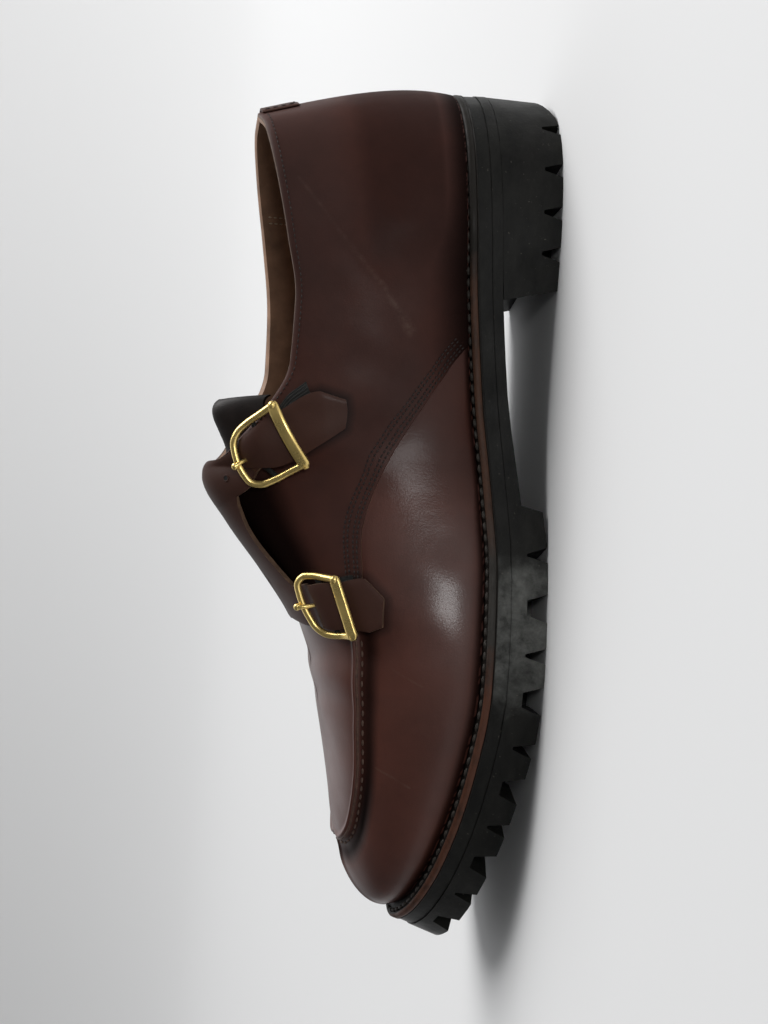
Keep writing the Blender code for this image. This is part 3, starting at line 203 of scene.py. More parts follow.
# Rows of stitches: pitch, length, radius
SEAM_ROW, COLLAR_ROW, LINING_ROW = (1.7, 1.3, 0.30), (1.9, 1.3, 0.24), (2.0, 1.5, 0.30)
APRON_ROW, HEEL_TAB_ROW, WELT_ROW = (3.4, 2.2, 0.46), (2.4, 1.8, 0.30), (4.0, 3.2, 0.78)
SPARE_HOLE = (0.475, 0.815)             # edge share and rise on the outer side


def cubic(first, last, leave, arrive, u):
    """Cubic curve between two values with their slopes, u from 0 to 1."""
    ends = first * (1 + 2 * u) * (1 - u) ** 2 + last * u * u * (3 - 2 * u)
    return ends + leave * u * (1 - u) ** 2 - arrive * u * u * (1 - u)


def smooth(table, column, at):
    """Smooth curve through one column of a table, without overshoot."""
    xs, ys = table[:, 0], table[:, column]
    step, slope = np.diff(xs), np.diff(ys) / np.diff(xs)
    tangent = np.empty(len(xs))
    tangent[0], tangent[-1] = slope[0], slope[-1]
    before, after = slope[:-1], slope[1:]
    same = before * after > 0.0
    total = step[:-1] + step[1:]
    mixed = (after * (2.0 * step[:-1] + step[1:]) + before * (step[:-1] + 2.0 * step[1:])) / (3.0 * total)
    limit = 2.5 * np.minimum(abs(before), abs(after))
    tangent[1:-1] = np.where(same, np.sign(before) * np.minimum(abs(mixed), limit), 0.0)
    at = np.clip(at, xs[0], xs[-1])
    cell = np.clip(np.searchsorted(xs, at, side="right") - 1, 0, len(xs) - 2)
    width = xs[cell + 1] - xs[cell]
    u = (at - xs[cell]) / width
    return cubic(ys[cell], ys[cell + 1], width * tangent[cell], width * tangent[cell + 1], u)


def ramp(at, start, stop):
    """Soft step from 0 at start to 1 at stop."""
    u = np.clip((at - start) / (stop - start), 0.0, 1.0)
    return u * u * (3.0 - 2.0 * u)


def plateau(at, start, full, fall, end):
    """Soft rise from start to full and soft fall from fall to end."""
    return ramp(at, start, full) * (1.0 - ramp(at, fall, end))


def bell(at, middle, half):
    """Soft hump of height 1."""
    return np.exp(-((at - middle) / half) ** 2)


def between(first, last, share):
    """Value at a share of the way from first to last."""
    return first + (last - first) * share


def unit(vectors):
    """Vectors of length 1."""
    return vectors / np.linalg.norm(vectors, axis=-1, keepdims=True)


def spline(points, samples, closed=False):
    """Smooth curve through points, with the same number of samples on every span."""
    points = np.asarray(points, float)
    if closed:
        ahead, behind = np.roll(points, -1, 0), np.roll(points, 1, 0)
    else:
        ahead = np.concatenate([points[1:], 2 * points[-1:] - points[-2:-1]])
        behind = np.concatenate([2 * points[:1] - points[1:2], points[:-1]])
    chord = np.linalg.norm(ahead - points, axis=1)[:, None]
    last = np.linalg.norm(points - behind, axis=1)[:, None]
    tangent = ((ahead - points) / chord * last + (points - behind) / last * chord) / (chord + last)
    u = (np.arange(samples) / samples)[None, :, None]
    leave, arrive = tangent * chord, np.roll(tangent, -1, 0) * chord
    curve = cubic(points[:, None], ahead[:, None], leave[:, None], arrive[:, None], u)
    curve = curve.reshape(-1, points.shape[1])
    return curve if closed else np.concatenate([curve[:-samples], points[-1:]])


def sole_edge():
    """The sole's outline: for each side its edge shares, points and outward normals."""
    along = SOLE_BACK + SOLE_OUTLINE[:, 0] * (SOLE_FRONT - SOLE_BACK)
    lateral = np.stack([-SOLE_OUTLINE[:, 1], along], 1)
    medial = np.stack([SOLE_OUTLINE[:, 2], along], 1)
    samples = 60
    loop = spline(np.concatenate([lateral, medial[-2:0:-1]]), samples, True)
    loop[:, 0] -= (loop[:, 0].min() + loop[:, 0].max()) / 2
    toe = (len(lateral) - 1) * samples
    halves = {LATERAL: loop[:toe + 1], MEDIAL: np.concatenate([loop[:1], loop[:toe - 1:-1]])}
    edge = {}
    for side, points in halves.items():
        run = np.concatenate([[0.0], np.cumsum(np.linalg.norm(np.diff(points, axis=0), axis=1))])
        tangent = unit(np.gradient(points, run, axis=0))
        tangent[0], tangent[-1] = (side, 0.0), (-side, 0.0)
        edge[side] = (run / run[-1], points, np.stack([tangent[:, 1], -tangent[:, 0]], 1) * side)
    return edge


EDGE = sole_edge()


def edge_points(side, share, inset):
    """Points of the sole's outline in plan, moved in by inset, and the outward normals there."""
    shares, points, normals = EDGE[side]
    point = np.stack([np.interp(share, shares, points[:, i]) for i in (0, 1)], -1)
    out = unit(np.stack([np.interp(share, shares, normals[:, i]) for i in (0, 1)], -1))
    return point - out * np.asarray(inset)[..., None], out


def sole_points(side, share, inset, depth):
    """Points on the sole's side at a depth under the welt's top."""
    plan, _ = edge_points(side, share, inset)
    y = plan[..., 1]
    lean = np.arctan((smooth(WELT_TOP, 1, y + 1.0) - smooth(WELT_TOP, 1, y - 1.0)) / 2.0)
    z = smooth(WELT_TOP, 1, y) - depth * np.cos(lean)
    return np.stack([plan[..., 0], y + depth * np.sin(lean), z], -1)


def ridge_slope(share):
    """Slope of the instep's ridge from the peak to the toe."""
    low, high = np.maximum(share - 0.005, PEAK), np.minimum(share + 0.005, 1.0)
    run = smooth(UPPER_TOP, 3, high) - smooth(UPPER_TOP, 3, low)
    return (smooth(UPPER_TOP, 4, high) - smooth(UPPER_TOP, 4, low)) / run


def foot_points(side, share, lift):
    """Foot of the upper's wall, level on the welt, moved out by a lift, and the outward normals in plan."""
    plan, out = edge_points(side, share, smooth(LEDGE, 1, share))
    plan = plan + out * np.asarray(lift)[..., None]
    return np.concatenate([plan, (smooth(WELT_TOP, 1, plan[..., 1]) + GAP)[..., None]], -1), out


def section_points(side, share, rise):
    """Points of the sections: rise 0 at the welt, 1 at the collar or ridge."""
    foot, out = foot_points(side, share, 0.0)
    col_x, col_z, col_flare = (1, 4, 2) if side == LATERAL else (2, 5, 3)
    top = np.stack([smooth(UPPER_TOP, c, share) for c in (col_x, 3, col_z)], -1)
    height, flare, reach, drop = (smooth(UPPER_FULLNESS, c, share)[..., None] for c in (1, col_flare, 4, 5))
    out = np.concatenate([out, np.zeros_like(out[..., :1])], -1)
    up = np.array([0.0, 0.0, 1.0])
    tilt = ridge_slope(np.maximum(share, PEAK)) * ramp(share, PEAK - PEAK_BLEND, PEAK) * out[..., 1]
    low = foot + up * height + out * flare
    high = top + (out + up * tilt[..., None]) * reach - up * drop
    r = rise[..., None]
    u = 1.0 - r
    return foot * u ** 3 + 3 * low * u * u * r + 3 * high * u * r * r + top * r ** 3


def base(side, share, rise):
    """Points of the last's own surface, its sections blended with their neighbours under the peak."""
    share, rise = np.broadcast_arrays(np.asarray(share, float), np.asarray(rise, float))
    point = section_points(side, share, rise)
    fair = np.asarray(plateau(share, *FAIR_SHARES) * plateau(rise, *FAIR_RISES))
    pick = fair > 0.0
    if pick.any():
        s, r = share[pick], rise[pick]
        near = sum(section_points(side, s + step, r) for step in FAIR_STEPS) / len(FAIR_STEPS)
        point[pick] += (near - point[pick]) * fair[pick][:, None]
    return point


def outward(side, share, rise):
    """Outward normals of the last's surface."""
    share, rise = np.broadcast_arrays(np.asarray(share, float), np.asarray(rise, float))
    step = 0.004
    along = base(side, np.minimum(share + step, 1.0), rise) - base(side, np.maximum(share - step, 0.0), rise)
    up = base(side, share, np.minimum(rise + step, 1.0)) - base(side, share, np.maximum(rise - step, 0.0))
    normal = np.cross(along, up) * side
    ends = (share <= 0.0) | (share >= 1.0)
    normal[..., 0] = np.where(ends, 0.0, normal[..., 0])
    ridge = (rise >= 1.0) & (share >= PEAK - 1e-6)
    slope = ridge_slope(np.maximum(share, PEAK))
    crest = np.stack([np.zeros_like(slope), -slope, np.ones_like(slope)], -1)
    return unit(np.where(ridge[..., None], crest, normal))


def skin(side, share, rise, lift):
    """Points at a height over the last's surface."""
    return base(side, share, rise) + outward(side, share, rise) * np.asarray(lift)[..., None]


def quarter_edge(side, rise):
    """Edge share of the quarter's front edge."""
    return smooth(QUARTER_EDGE, 1 if side == LATERAL else 2, rise)


def section_lengths():
    """Length of each section from the welt to its top, against the edge share."""
    shares = np.linspace(0.0, 1.0, 101)
    rises = np.linspace(0.0, 1.0, 60)
    lines = base(LATERAL, shares[:, None], rises[None, :])
    return shares, np.linalg.norm(np.diff(lines, axis=1), axis=2).sum(1)


SECTION = section_lengths()


def girth(share):
    """Length over the upper from the welt to its top."""
    return np.interp(share, *SECTION)


def put(name, data):
    """New object in the scene."""
    item = bpy.data.objects.new(name, data)
    bpy.context.scene.collection.objects.link(item)
    return item


class Piece:
    """Grids of points gathered into one mesh."""

    def __init__(self):
        self.points, self.faces, self.slots, self.dull, self.count = [], [], [], [], 0

    def grid(self, points, slot=0, close_rows=False, close_columns=False, dull=0.0):
        """Faces between rows of points, in the material of a slot; dull is the leather's dullness, which when
        high also darkens it, as painted shade in places.
        """
        points = np.asarray(points, float)
        rows, columns = points.shape[:2]
        self.dull.append(np.broadcast_to(dull, (rows, columns)).ravel())
        index = np.arange(rows * columns).reshape(rows, columns) + self.count
        self.points.append(points.reshape(-1, 3))
        self.count += rows * columns
        if close_rows:
            index = np.concatenate([index, index[:1]])
        if close_columns:
            index = np.concatenate([index, index[:, :1]], 1)
        quads = np.stack([index[:-1, :-1], index[1:, :-1], index[1:, 1:], index[:-1, 1:]], -1).reshape(-1, 4)
        self.faces.extend(quads.tolist())
        self.slots.extend([slot] * len(quads))

    def fan(self, ring, slot=0):
        """Closes a ring of points."""
        ring = np.asarray(ring, float)
        self.points.append(ring)
        self.dull.append(np.zeros(len(ring)))
        self.faces.append(list(range(self.count, self.count + len(ring))))
        self.slots.append(slot)
        self.count += len(ring)

    def build(self, name, materials, node=None, sharp=50.0, weld=1e-6):
        """Object of the gathered faces, which may stand for a CAD node; sharp is in degrees."""
        mesh = bpy.data.meshes.new(name)
        mesh.from_pydata((np.concatenate(self.points) * MM).tolist(), [], self.faces)
        mesh.polygons.foreach_set("material_index", np.array(self.slots, dtype=np.int32))
        if self.dull and np.concatenate(self.dull).any():
            layer = mesh.attributes.new("dull", "FLOAT", "POINT")
            layer.data.foreach_set("value", np.concatenate(self.dull).astype(np.float32))
        work = bmesh.new()
        work.from_mesh(mesh)
        bmesh.ops.remove_doubles(work, verts=work.verts, dist=weld)
        bmesh.ops.dissolve_degenerate(work, edges=work.edges, dist=1e-8)
        bmesh.ops.recalc_face_normals(work, faces=work.faces)
        work.to_mesh(mesh)
        work.free()
        mesh.shade_smooth()
        mesh.set_sharp_from_angle(angle=math.radians(sharp))
        for material in materials:
            mesh.materials.append(material)
        item = put(name, mesh)
        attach(item, "root")
        if node:
            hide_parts(node)
        return item

    def build_thread(self, name, materials, slot):
        """Stitches stand for no node, and their small faces are kept apart."""
        self.build(name, materials, None, 80.0, 1e-9)


def tube(piece, path, half, thick, up, sides=16, closed=False, power=2.0, slot=0):
    """Bar along a path; half and thick are its half width and half thickness at each point."""
    path = np.asarray(path, float)
    run = np.roll(path, -1, 0) - np.roll(path, 1, 0) if closed else np.gradient(path, axis=0)
    run = unit(run)
    side = unit(np.cross(run, up))
    top = np.cross(side, run)
    angle = np.linspace(0.0, 2 * math.pi, sides, endpoint=False)
    cos, sin = np.cos(angle), np.sin(angle)
    round_off = (np.abs(cos) ** power + np.abs(sin) ** power) ** (-1.0 / power)
    half, thick = (np.broadcast_to(v, len(path)) for v in (half, thick))
    rings = (path[:, None] + side[:, None] * (half[:, None] * cos * round_off)[..., None]
             + top[:, None] * (thick[:, None] * sin * round_off)[..., None])
    piece.grid(rings, slot, closed, True)
    if not closed:
        piece.fan(rings[0], slot)
        piece.fan(rings[-1], slot)


def egg(piece, centre, axes, rows, sides, pole, slot=0):
    """Egg shape on three half axes, the first through its poles, which are left open by a small angle."""
    lat = np.linspace(pole, math.pi - pole, rows)[:, None]
    lon = np.linspace(0.0, 2 * math.pi, sides, endpoint=False)[None, :]
    parts = np.broadcast_arrays(np.cos(lat), np.sin(lat) * np.cos(lon), np.sin(lat) * np.sin(lon))
    piece.grid(centre + np.stack(parts, -1) @ np.array(axes), slot, False, True)


def ball(piece, centre, radius):
    """Round end of a brass part."""
    egg(piece, centre, radius * np.eye(3)[[2, 0, 1]], 13, 20, 0.001)


def stitches(piece, path, normal, row, sink=0.35, slot=0):
    """Row of threads along a path on a surface, sunk in by a share of their thickness."""
    pitch, length, radius = row
    run = np.concatenate([[0.0], np.cumsum(np.linalg.norm(np.diff(path, axis=0), axis=1))])
    count = int(run[-1] / pitch)

    def place(at, line):
        return np.array([np.interp(at, run, line[:, k]) for k in range(3)])
    for i in range(count):
        at = (i + 0.5) * run[-1] / count
        along = unit(place(min(at + 0.5, run[-1]), path) - place(max(at - 0.5, 0.0), path))
        up = place(at, normal)
        up = unit(up - along * (up @ along))
        axes = (along * length / 2, np.cross(along, up) * radius, up * radius)
        egg(piece, place(at, path) + up * radius * (1.0 - 2.0 * sink), axes, 6, 6, 0.02, slot)


def on_path(side, share, rise, lift):
    """A line on the upper with its normals."""
    return skin(side, share, rise, lift), outward(side, share, rise)


def beside(share, rise, distance):
    """A line moved sideways on the upper: to the left of its run if the distance is positive."""
    x, y = np.asarray(share) * EDGE_LENGTH, np.asarray(rise) * girth(share)
    run = unit(np.stack([np.gradient(x), np.gradient(y)], -1))
    x, y = x - run[:, 1] * distance, y + run[:, 0] * distance
    share = np.clip(x / EDGE_LENGTH, 0.0, 1.0)
    return share, np.clip(y / girth(share), 0.0, 1.0)


# Materials

# Dark colour mixed into the leather: painted shade in the apron's trough, in the hollow between the straps
# and along the straps' ends, and darker leather at welt, heel and waist.
SHADE_AND_DARKENING = (0.0035, 0.0022, 0.0020)
DARK_FROM = 0.4                         # dull value from which the leather is also painted darker, as painted shade in places
SHADE_HALF, SHADE_STRENGTH = 3.4, 0.8   # painted shadow line along a strap's end


def new_material(name):
    """New material with its node tree and its shader."""
    material = bpy.data.materials.new(name)
    material.use_nodes = True
    tree = material.node_tree
    return material, tree, tree.nodes["Principled BSDF"]


def plug(tree, socket, value):
    """Gives a socket a plain value or a link from another socket."""
    if isinstance(value, bpy.types.NodeSocket):
        tree.links.new(value, socket)
    else:
        socket.default_value = value


def add(tree, kind, **values):
    """New node; the values name its sockets or its own settings."""
    node = tree.nodes.new(kind)
    for key, value in values.items():
        if key in node.inputs:
            plug(tree, node.inputs[key], value)
        else:
            setattr(node, key, value)
    return node


def fill(tree, shader, values):
    """Values or links for a shader's sockets by name."""
    for key, value in values.items():
        plug(tree, shader.inputs[key], value)


def object_place(tree):
    """Coordinates in the shoe's own frame, in metres."""
    return add(tree, "ShaderNodeTexCoord").outputs["Object"]


def noise(tree, scale, detail=4.0, rough=0.55, stretch=None):
    """Noise in the shoe's own coordinates; scale is features per metre."""
    place = object_place(tree)
    if stretch:
        place = add(tree, "ShaderNodeMapping", Vector=place, Scale=stretch).outputs["Vector"]
    node = add(tree, "ShaderNodeTexNoise", Vector=place, Scale=scale, Detail=detail, Roughness=rough)
    return node.outputs["Fac"]


def colour_ramp(tree, source, stops):
    """Colour by a value: each stop has its value and colour."""
    node = add(tree, "ShaderNodeValToRGB", Fac=source)
    points = node.color_ramp.elements
    while len(points) < len(stops):
        points.new(0.5)
    for point, (at, colour) in zip(points, stops):
        point.position = at
        point.color = (*colour, 1.0)
    return node.outputs["Color"]


def value_ramp(tree, source, low, high, start=0.3, stop=0.7):
    """Value from low to high while the source goes from start to stop."""
    limits = {"From Min": start, "From Max": stop, "To Min": low, "To Max": high}
    return add(tree, "ShaderNodeMapRange", Value=source, **limits).outputs["Result"]


def bump(tree, shader, layers):
    """Stacked bumps: (height source, depth in metres)."""
    last = None
    for source, depth in layers:
        node = add(tree, "ShaderNodeBump", Strength=1.0, Distance=depth, Height=source)
        if last:
            tree.links.new(last, node.inputs["Normal"])
        last = node.outputs["Normal"]
    fill(tree, shader, {"Normal": last, "Coat Normal": last})


def mix_colour(tree, share, first, second):
    """Colour from a first socket to a second plain colour by a mask."""
    node = add(tree, "ShaderNodeMix", data_type="RGBA", Factor=share)
    plug(tree, node.inputs[6], first)
    plug(tree, node.inputs[7], (*second, 1.0))
    return node.outputs[2]


def maths(tree, operation, first, second, kind="ShaderNodeMath", output=0):
    """Result of an operation on two values or sockets."""
    node = add(tree, kind, operation=operation)
    plug(tree, node.inputs[0], first)
    plug(tree, node.inputs[1], second)
    return node.outputs[output]


def vectors(tree, operation, first, second, output):
    """Result of an operation on two vectors: output 0 is a vector, 1 a value."""
    return maths(tree, operation, first, second, "ShaderNodeVectorMath", output)


def streak(tree, start, stop, half, strength):
    """Mask along a straight line between two points in metres."""
    length = float(np.linalg.norm(stop - start))
    run = ((stop - start) / length).tolist()
    offset = vectors(tree, "SUBTRACT", object_place(tree), start.tolist(), 0)
    along = value_ramp(tree, vectors(tree, "DOT_PRODUCT", offset, run, 1), 0.0, length, 0.0, length)
    onto = add(tree, "ShaderNodeVectorMath", operation="SCALE", Vector=run, Scale=along)
    apart = vectors(tree, "DISTANCE", offset, onto.outputs[0], 1)
    return value_ramp(tree, apart, strength, 0.0, 0.0, half)


def streaks(tree, rows):
    """Mask of several lines on the outer side, each in parts short enough to follow the leather."""
    mask = None
    for first, last, lift, half, strength in rows:
        places = np.linspace(first, last, 3)
        points = skin(LATERAL, *places.T, lift) * MM
        for start, stop in zip(points[:-1], points[1:]):
            line = streak(tree, start, stop, half * MM, strength)
            mask = line if mask is None else maths(tree, "MAXIMUM", mask, line)
    return mask


def strap_shades():
    """Painted shadow on the leather along the straps' free ends, as rows like those of the scratches."""
    rows = []
    for strap in (STRAP_UPPER, STRAP_LOWER):
        end = strap[-3:]
        outline = np.concatenate([end[:, 1:3], end[::-1, 3:5]])
        rows += [(*ends, QUARTER_STEP, SHADE_HALF, SHADE_STRENGTH) for ends in zip(outline, outline[1:])]
    return rows


def leather(name, dark, mid, light, rough, specular, coat, worn_and_shaded=False):
    """Polished leather: mottled colour, fine grain, uneven gloss; the last flag adds dull places that also
    carry painted shade, painted shadow along the straps' ends, and scratches.
    """
    material, tree, shader = new_material(name)
    colour = colour_ramp(tree, noise(tree, 24.0, 6.0, 0.6), ((0.24, dark), (0.51, mid), (0.78, light)))
    if worn_and_shaded:
        dull = add(tree, "ShaderNodeAttribute", attribute_name="dull").outputs["Fac"]
        # painted shade and darker places where the dull value passes DARK_FROM
        colour = mix_colour(tree, value_ramp(tree, dull, 0.0, 1.0, DARK_FROM, 1.0), colour, SHADE_AND_DARKENING)
        # painted shadow along the straps' ends
        colour = mix_colour(tree, streaks(tree, strap_shades()), colour, SHADE_AND_DARKENING)
        broken = value_ramp(tree, noise(tree, 260.0, 5.0, 0.7), 0.05, 0.60, 0.40, 0.72)
        scratched = maths(tree, "MULTIPLY", streaks(tree, SCRATCHES), broken)
        colour = mix_colour(tree, scratched, colour, (0.135, 0.085, 0.066))
        polish = maths(tree, "SUBTRACT", 1.0, dull)
        coat, specular = (maths(tree, "MULTIPLY", polish, value) for value in (coat, specular))
    fill(tree, shader, {
        "Base Color": colour, "Roughness": value_ramp(tree, noise(tree, 60.0, 5.0), *rough),
        "Coat Weight": coat, "Coat Roughness": 0.17, "Specular IOR Level": specular})
    bump(tree, shader, ((noise(tree, 45.0, 3.0), 0.00018), (noise(tree, 1500.0, 3.0, 0.6), 0.00003)))
    return material


def along_shoe(tree, stops):
    """Colour by the place along the shoe: 0 at the heel, 1 at the toe, with uneven borders."""
    split = add(tree, "ShaderNodeSeparateXYZ", Vector=object_place(tree))
    uneven = maths(tree, "MULTIPLY", maths(tree, "SUBTRACT", noise(tree, 70.0, 4.0), 0.5), 0.05)
    share = value_ramp(tree, maths(tree, "ADD", split.outputs["Y"], uneven), 0.0, 1.0, -0.151, 0.151)
    return colour_ramp(tree, share, stops)


def welt_edge():
    """Edge of the welt: dark at the heel, brown at the waist, grey at the ball, red brown to the toe."""
    material, tree, shader = new_material("welt_edge")
    black, grey = (0.010, 0.008, 0.006), (0.034, 0.031, 0.027)
    brown, red = (0.062, 0.028, 0.016), (0.085, 0.033, 0.019)
    colour = along_shoe(tree, (
        (0.0, black), (0.20, black), (0.27, brown), (0.47, brown), (0.55, grey), (0.64, grey), (0.69, red),
        (1.0, red)))
    grime = value_ramp(tree, noise(tree, 260.0, 6.0, 0.7, (1.0, 0.35, 1.0)), 0.0, 0.7, 0.46, 0.70)
    fill(tree, shader, {
        "Base Color": mix_colour(tree, grime, colour, black),
        "Roughness": value_ramp(tree, noise(tree, 150.0, 4.0), 0.45, 0.7), "Specular IOR Level": 0.2})
    bump(tree, shader, ((noise(tree, 500.0, 4.0), 0.00012),))
    return material


def rubber():
    """Black rubber with a grey bloom, dust specks and a pale patch at the ball, partly rubbed rubber and
    partly painted sheen.
    """
    material, tree, shader = new_material("black_rubber")
    black, grey, dust = (0.0026, 0.0026, 0.0021), (0.0112, 0.0109, 0.0092), (0.12, 0.11, 0.09)
    none, some, sheen_pale = (0.0, 0.0, 0.0), (0.8, 0.8, 0.8), (0.160, 0.163, 0.152)
    colour = colour_ramp(tree, noise(tree, 170.0, 7.0, 0.7, (1.0, 0.3, 1.0)), ((0.34, black), (0.70, grey)))
    ball_part = along_shoe(tree, ((0.0, none), (0.53, none), (0.59, some), (0.66, some), (0.72, none)))
    sheen_patches = value_ramp(tree, noise(tree, 160.0, 6.0, 0.7), 0.2, 1.0, 0.36, 0.70)
    # pale patches at the ball: painted sheen on rubbed-looking rubber
    colour = mix_colour(tree, maths(tree, "MULTIPLY", ball_part, sheen_patches), colour, sheen_pale)
    specks = value_ramp(tree, noise(tree, 900.0, 2.0, 0.5), 0.0, 0.5, 0.70, 0.78)
    fill(tree, shader, {
        "Base Color": mix_colour(tree, specks, colour, dust),
        "Roughness": value_ramp(tree, noise(tree, 70.0, 5.0), 0.36, 0.58), "Specular IOR Level": 0.15})
    bump(tree, shader, ((noise(tree, 300.0, 4.0), 0.00012), (noise(tree, 1800.0, 2.0), 0.00003)))
    return material


def plain(name, colour, rough, spread=0.25, scale=200.0, depth=0.00005, metallic=0.0, specular=0.4):
    """Simple uneven finish."""
    material, tree, shader = new_material(name)
    dark, light = (tuple(min(c * (1.0 + s), 1.0) for c in colour) for s in (-spread, spread))
    fill(tree, shader, {
        "Base Color": colour_ramp(tree, noise(tree, scale, 5.0), ((0.3, dark), (0.7, light))),
        "Roughness": value_ramp(tree, noise(tree, scale * 0.7, 4.0), *rough), "Metallic": metallic,
        "Specular IOR Level": specular})
    bump(tree, shader, ((noise(tree, scale * 6.0, 3.0), depth),))
    return material


QUARTER = leather("quarter_leather", (0.032, 0.0125, 0.0095), (0.048, 0.018, 0.0135), (0.066, 0.023, 0.016),
                  (0.52, 0.66), 0.17, 0.02, True)
VAMP = leather("vamp_leather", (0.056, 0.0205, 0.0148), (0.082, 0.0285, 0.0200), (0.104, 0.0345, 0.0240),
               (0.40, 0.52), 0.30, 0.28, True)
STRAP = leather("strap_leather", (0.034, 0.0145, 0.0105), (0.047, 0.0195, 0.0135), (0.060, 0.0245, 0.0165),
                (0.50, 0.62), 0.16, 0.04)
RAW_EDGE = plain("raw_edge", (0.090, 0.050, 0.029), (0.55, 0.70), 0.3, 400.0)
LINING = plain("lining_leather", (0.285, 0.165, 0.103), (0.55, 0.7), 0.3, 120.0)
LIP = plain("apron_lip", (0.082, 0.040, 0.026), (0.45, 0.6), 0.35, 500.0)
FOOTBED = plain("footbed_leather", (0.110, 0.060, 0.034), (0.55, 0.7), 0.3, 120.0)
# the tongue's dark leather, painted near-black with the shade under the flap
TONGUE_SKIN = plain("tongue_leather", (0.0110, 0.0070, 0.0060), (0.45, 0.60), 0.3, 200.0, specular=0.25)
THREAD = plain("thread", (0.016, 0.0095, 0.0075), (0.6, 0.7), 0.2, 900.0)
APRON_THREAD = plain("apron_thread", (0.095, 0.055, 0.040), (0.6, 0.7), 0.2, 900.0)
LINING_THREAD = plain("lining_thread", (0.55, 0.44, 0.32), (0.6, 0.7), 0.2, 900.0)
WELT_THREAD = plain("welt_thread", (0.026, 0.021, 0.016), (0.55, 0.7), 0.4, 900.0)
WELT_DARK = plain("welt_top", (0.0085, 0.0065, 0.0050), (0.50, 0.70), 0.4, 300.0, specular=0.2)
WELT_BROWN = welt_edge()
RUBBER = rubber()
ELASTIC = plain("elastic", (0.012, 0.012, 0.011), (0.7, 0.85), 0.3, 800.0)
BRASS = plain("brass", (0.86, 0.64, 0.23), (0.22, 0.36), 0.08, 150.0, 0.00001, 0.88)
# dark disc in the strap's hole: painted shade for the hole's depth
HOLE_SHADE = plain("hole", (0.004, 0.003, 0.003), (0.8, 0.9), 0.2, 400.0)


# Upper

def crease_relief(side, share, rise):
    """Soft troughs and swellings of the worn leather."""
    lift = np.zeros(np.broadcast(share, rise).shape)
    for at_share, at_rise, turn, length, width, depth in CREASES[side]:
        x = (share - at_share) * EDGE_LENGTH
        y = (rise - at_rise) * girth(share)
        a = math.radians(turn)
        along, across = x * math.cos(a) + y * math.sin(a), -x * math.sin(a) + y * math.cos(a)
        across = across + 0.006 * along ** 2
        trough, ridge = bell(across, 0.0, width), 0.45 * bell(across, 2.2 * width, width)
        lift -= depth * np.exp(-(along / length) ** 4) * (trough - ridge)
    return lift


def apron_relief(share, rise):
    """The apron's raised seam, the trough outside it and the split toe's seam."""
    seam = smooth(APRON_SEAM, 1, share)
    run = (rise - seam) * girth(share)
    corner = 1.0 + 0.9 * bell(share, 0.90, 0.07)
    lift = 1.35 * bell(run, 0.0, 0.95) + 0.55 * bell(run, 0.0, np.where(run > 0.0, 14.0, 1.2))
    lift = lift * (1.0 - 0.65 * ramp(share, 0.93, 1.0)) - 0.55 * corner * bell(run, -4.0, 3.4)
    toe = (1.0 - share) * EDGE_LENGTH
    below = ramp(-run, 0.5, 3.0) * ramp(rise, 0.02, 0.10)
    return lift + below * (0.75 * bell(toe, 0.0, 2.4) - bell(toe, 0.0, 0.5))


def dull_places(side, share, rise, quarter):
    """How dull the leather is and, past DARK_FROM, how much darker: painted shade in the hollow between the
    straps and in the trough by the apron, duller and darker leather at welt, heel and waist.
    """
    run = (rise - smooth(APRON_SEAM, 1, share)) * girth(share)
    # painted shade in the trough outside the apron's seam
    trough = (0.86 + 0.12 * bell(share, 0.86, 0.10)) * bell(run, -5.3, 5.2)
    reach = np.where(quarter, 9.0 + 7.0 * plateau(share, 0.16, 0.25, 0.36, 0.42), 4.5)
    # duller and darker leather near the welt
    welt = 0.93 * bell(rise * girth(share), 0.0, reach)
    # duller, and a little darker, at the heel and at the waist
    counter = 0.60 * (1.0 - ramp(share, 0.20, 0.34)) * plateau(rise, 0.05, 0.15, 0.50, 0.75)
    waist = 0.60 * (1.0 - ramp(share, 0.44, 0.56)) * plateau(rise, -0.10, 0.0, 0.55, 0.65)
    # painted shade in the hollow by the flap's edge between the straps
    hollow = 0.95 * ramp(rise, 0.52, 0.70) * plateau(share, 0.44, 0.49, 0.61, 0.64) * (side == LATERAL)
    low = np.maximum(welt, np.where(quarter, counter, waist))
    return np.clip(low + np.where(quarter, hollow, trough), 0.0, 1.0)


def panel_share(edge, part, quarter):
    """Edge share of a part of a panel: the quarter up to its edge, or the vamp in front of it."""
    return np.where(quarter, edge * part, edge + (1.0 - edge) * part)


def seam_rows(side, part, quarter, mark):
    """Edge shares and rises of a side's grid, its rows close together along the apron's seam."""
    first, last, half = 0.40, 0.66, 0.06
    rise = np.repeat(mark[None, :], len(part), 0)
    for _ in range(16):
        seam = smooth(APRON_SEAM, 1, panel_share(quarter_edge(side, rise), part, quarter))
        low, high = seam - half, np.minimum(seam + half, 0.96)
        below, above = low * mark / first, high + (1.0 - high) * (mark - last) / (1.0 - last)
        band = low + (high - low) * (mark - first) / (last - first)
        rise = 0.5 * rise + 0.5 * np.where(mark < first, below, np.where(mark < last, band, above))
    rise[:, 0], rise[:, -1] = 0.0, 1.0
    return panel_share(quarter_edge(side, rise), part, quarter), rise


def upper_lift(side, part, quarter, share, rise):
    """Height of the leather over the last: the quarter's step, the apron's seam and the creases."""
    under_flap = ramp(rise, 0.70, 0.90) * ramp(share, PEAK, PEAK + 0.04)
    step = QUARTER_STEP + (RIDGE_STEP - QUARTER_STEP) * under_flap
    inset = (1.0 - part) * quarter_edge(side, rise) * EDGE_LENGTH
    shoulder = 0.55 + 0.45 * np.sqrt(1.0 - (1.0 - np.clip(inset / 0.9, 0.0, 1.0)) ** 2)
    lip = 0.5 * bell((1.0 - rise) * girth(share), 0.0, 0.9) * (share < PEAK)
    lift = np.where(quarter, step * shoulder - lip, apron_relief(share, rise))
    return lift + crease_relief(side, share, rise) * ramp(rise, 0.0, 0.08)


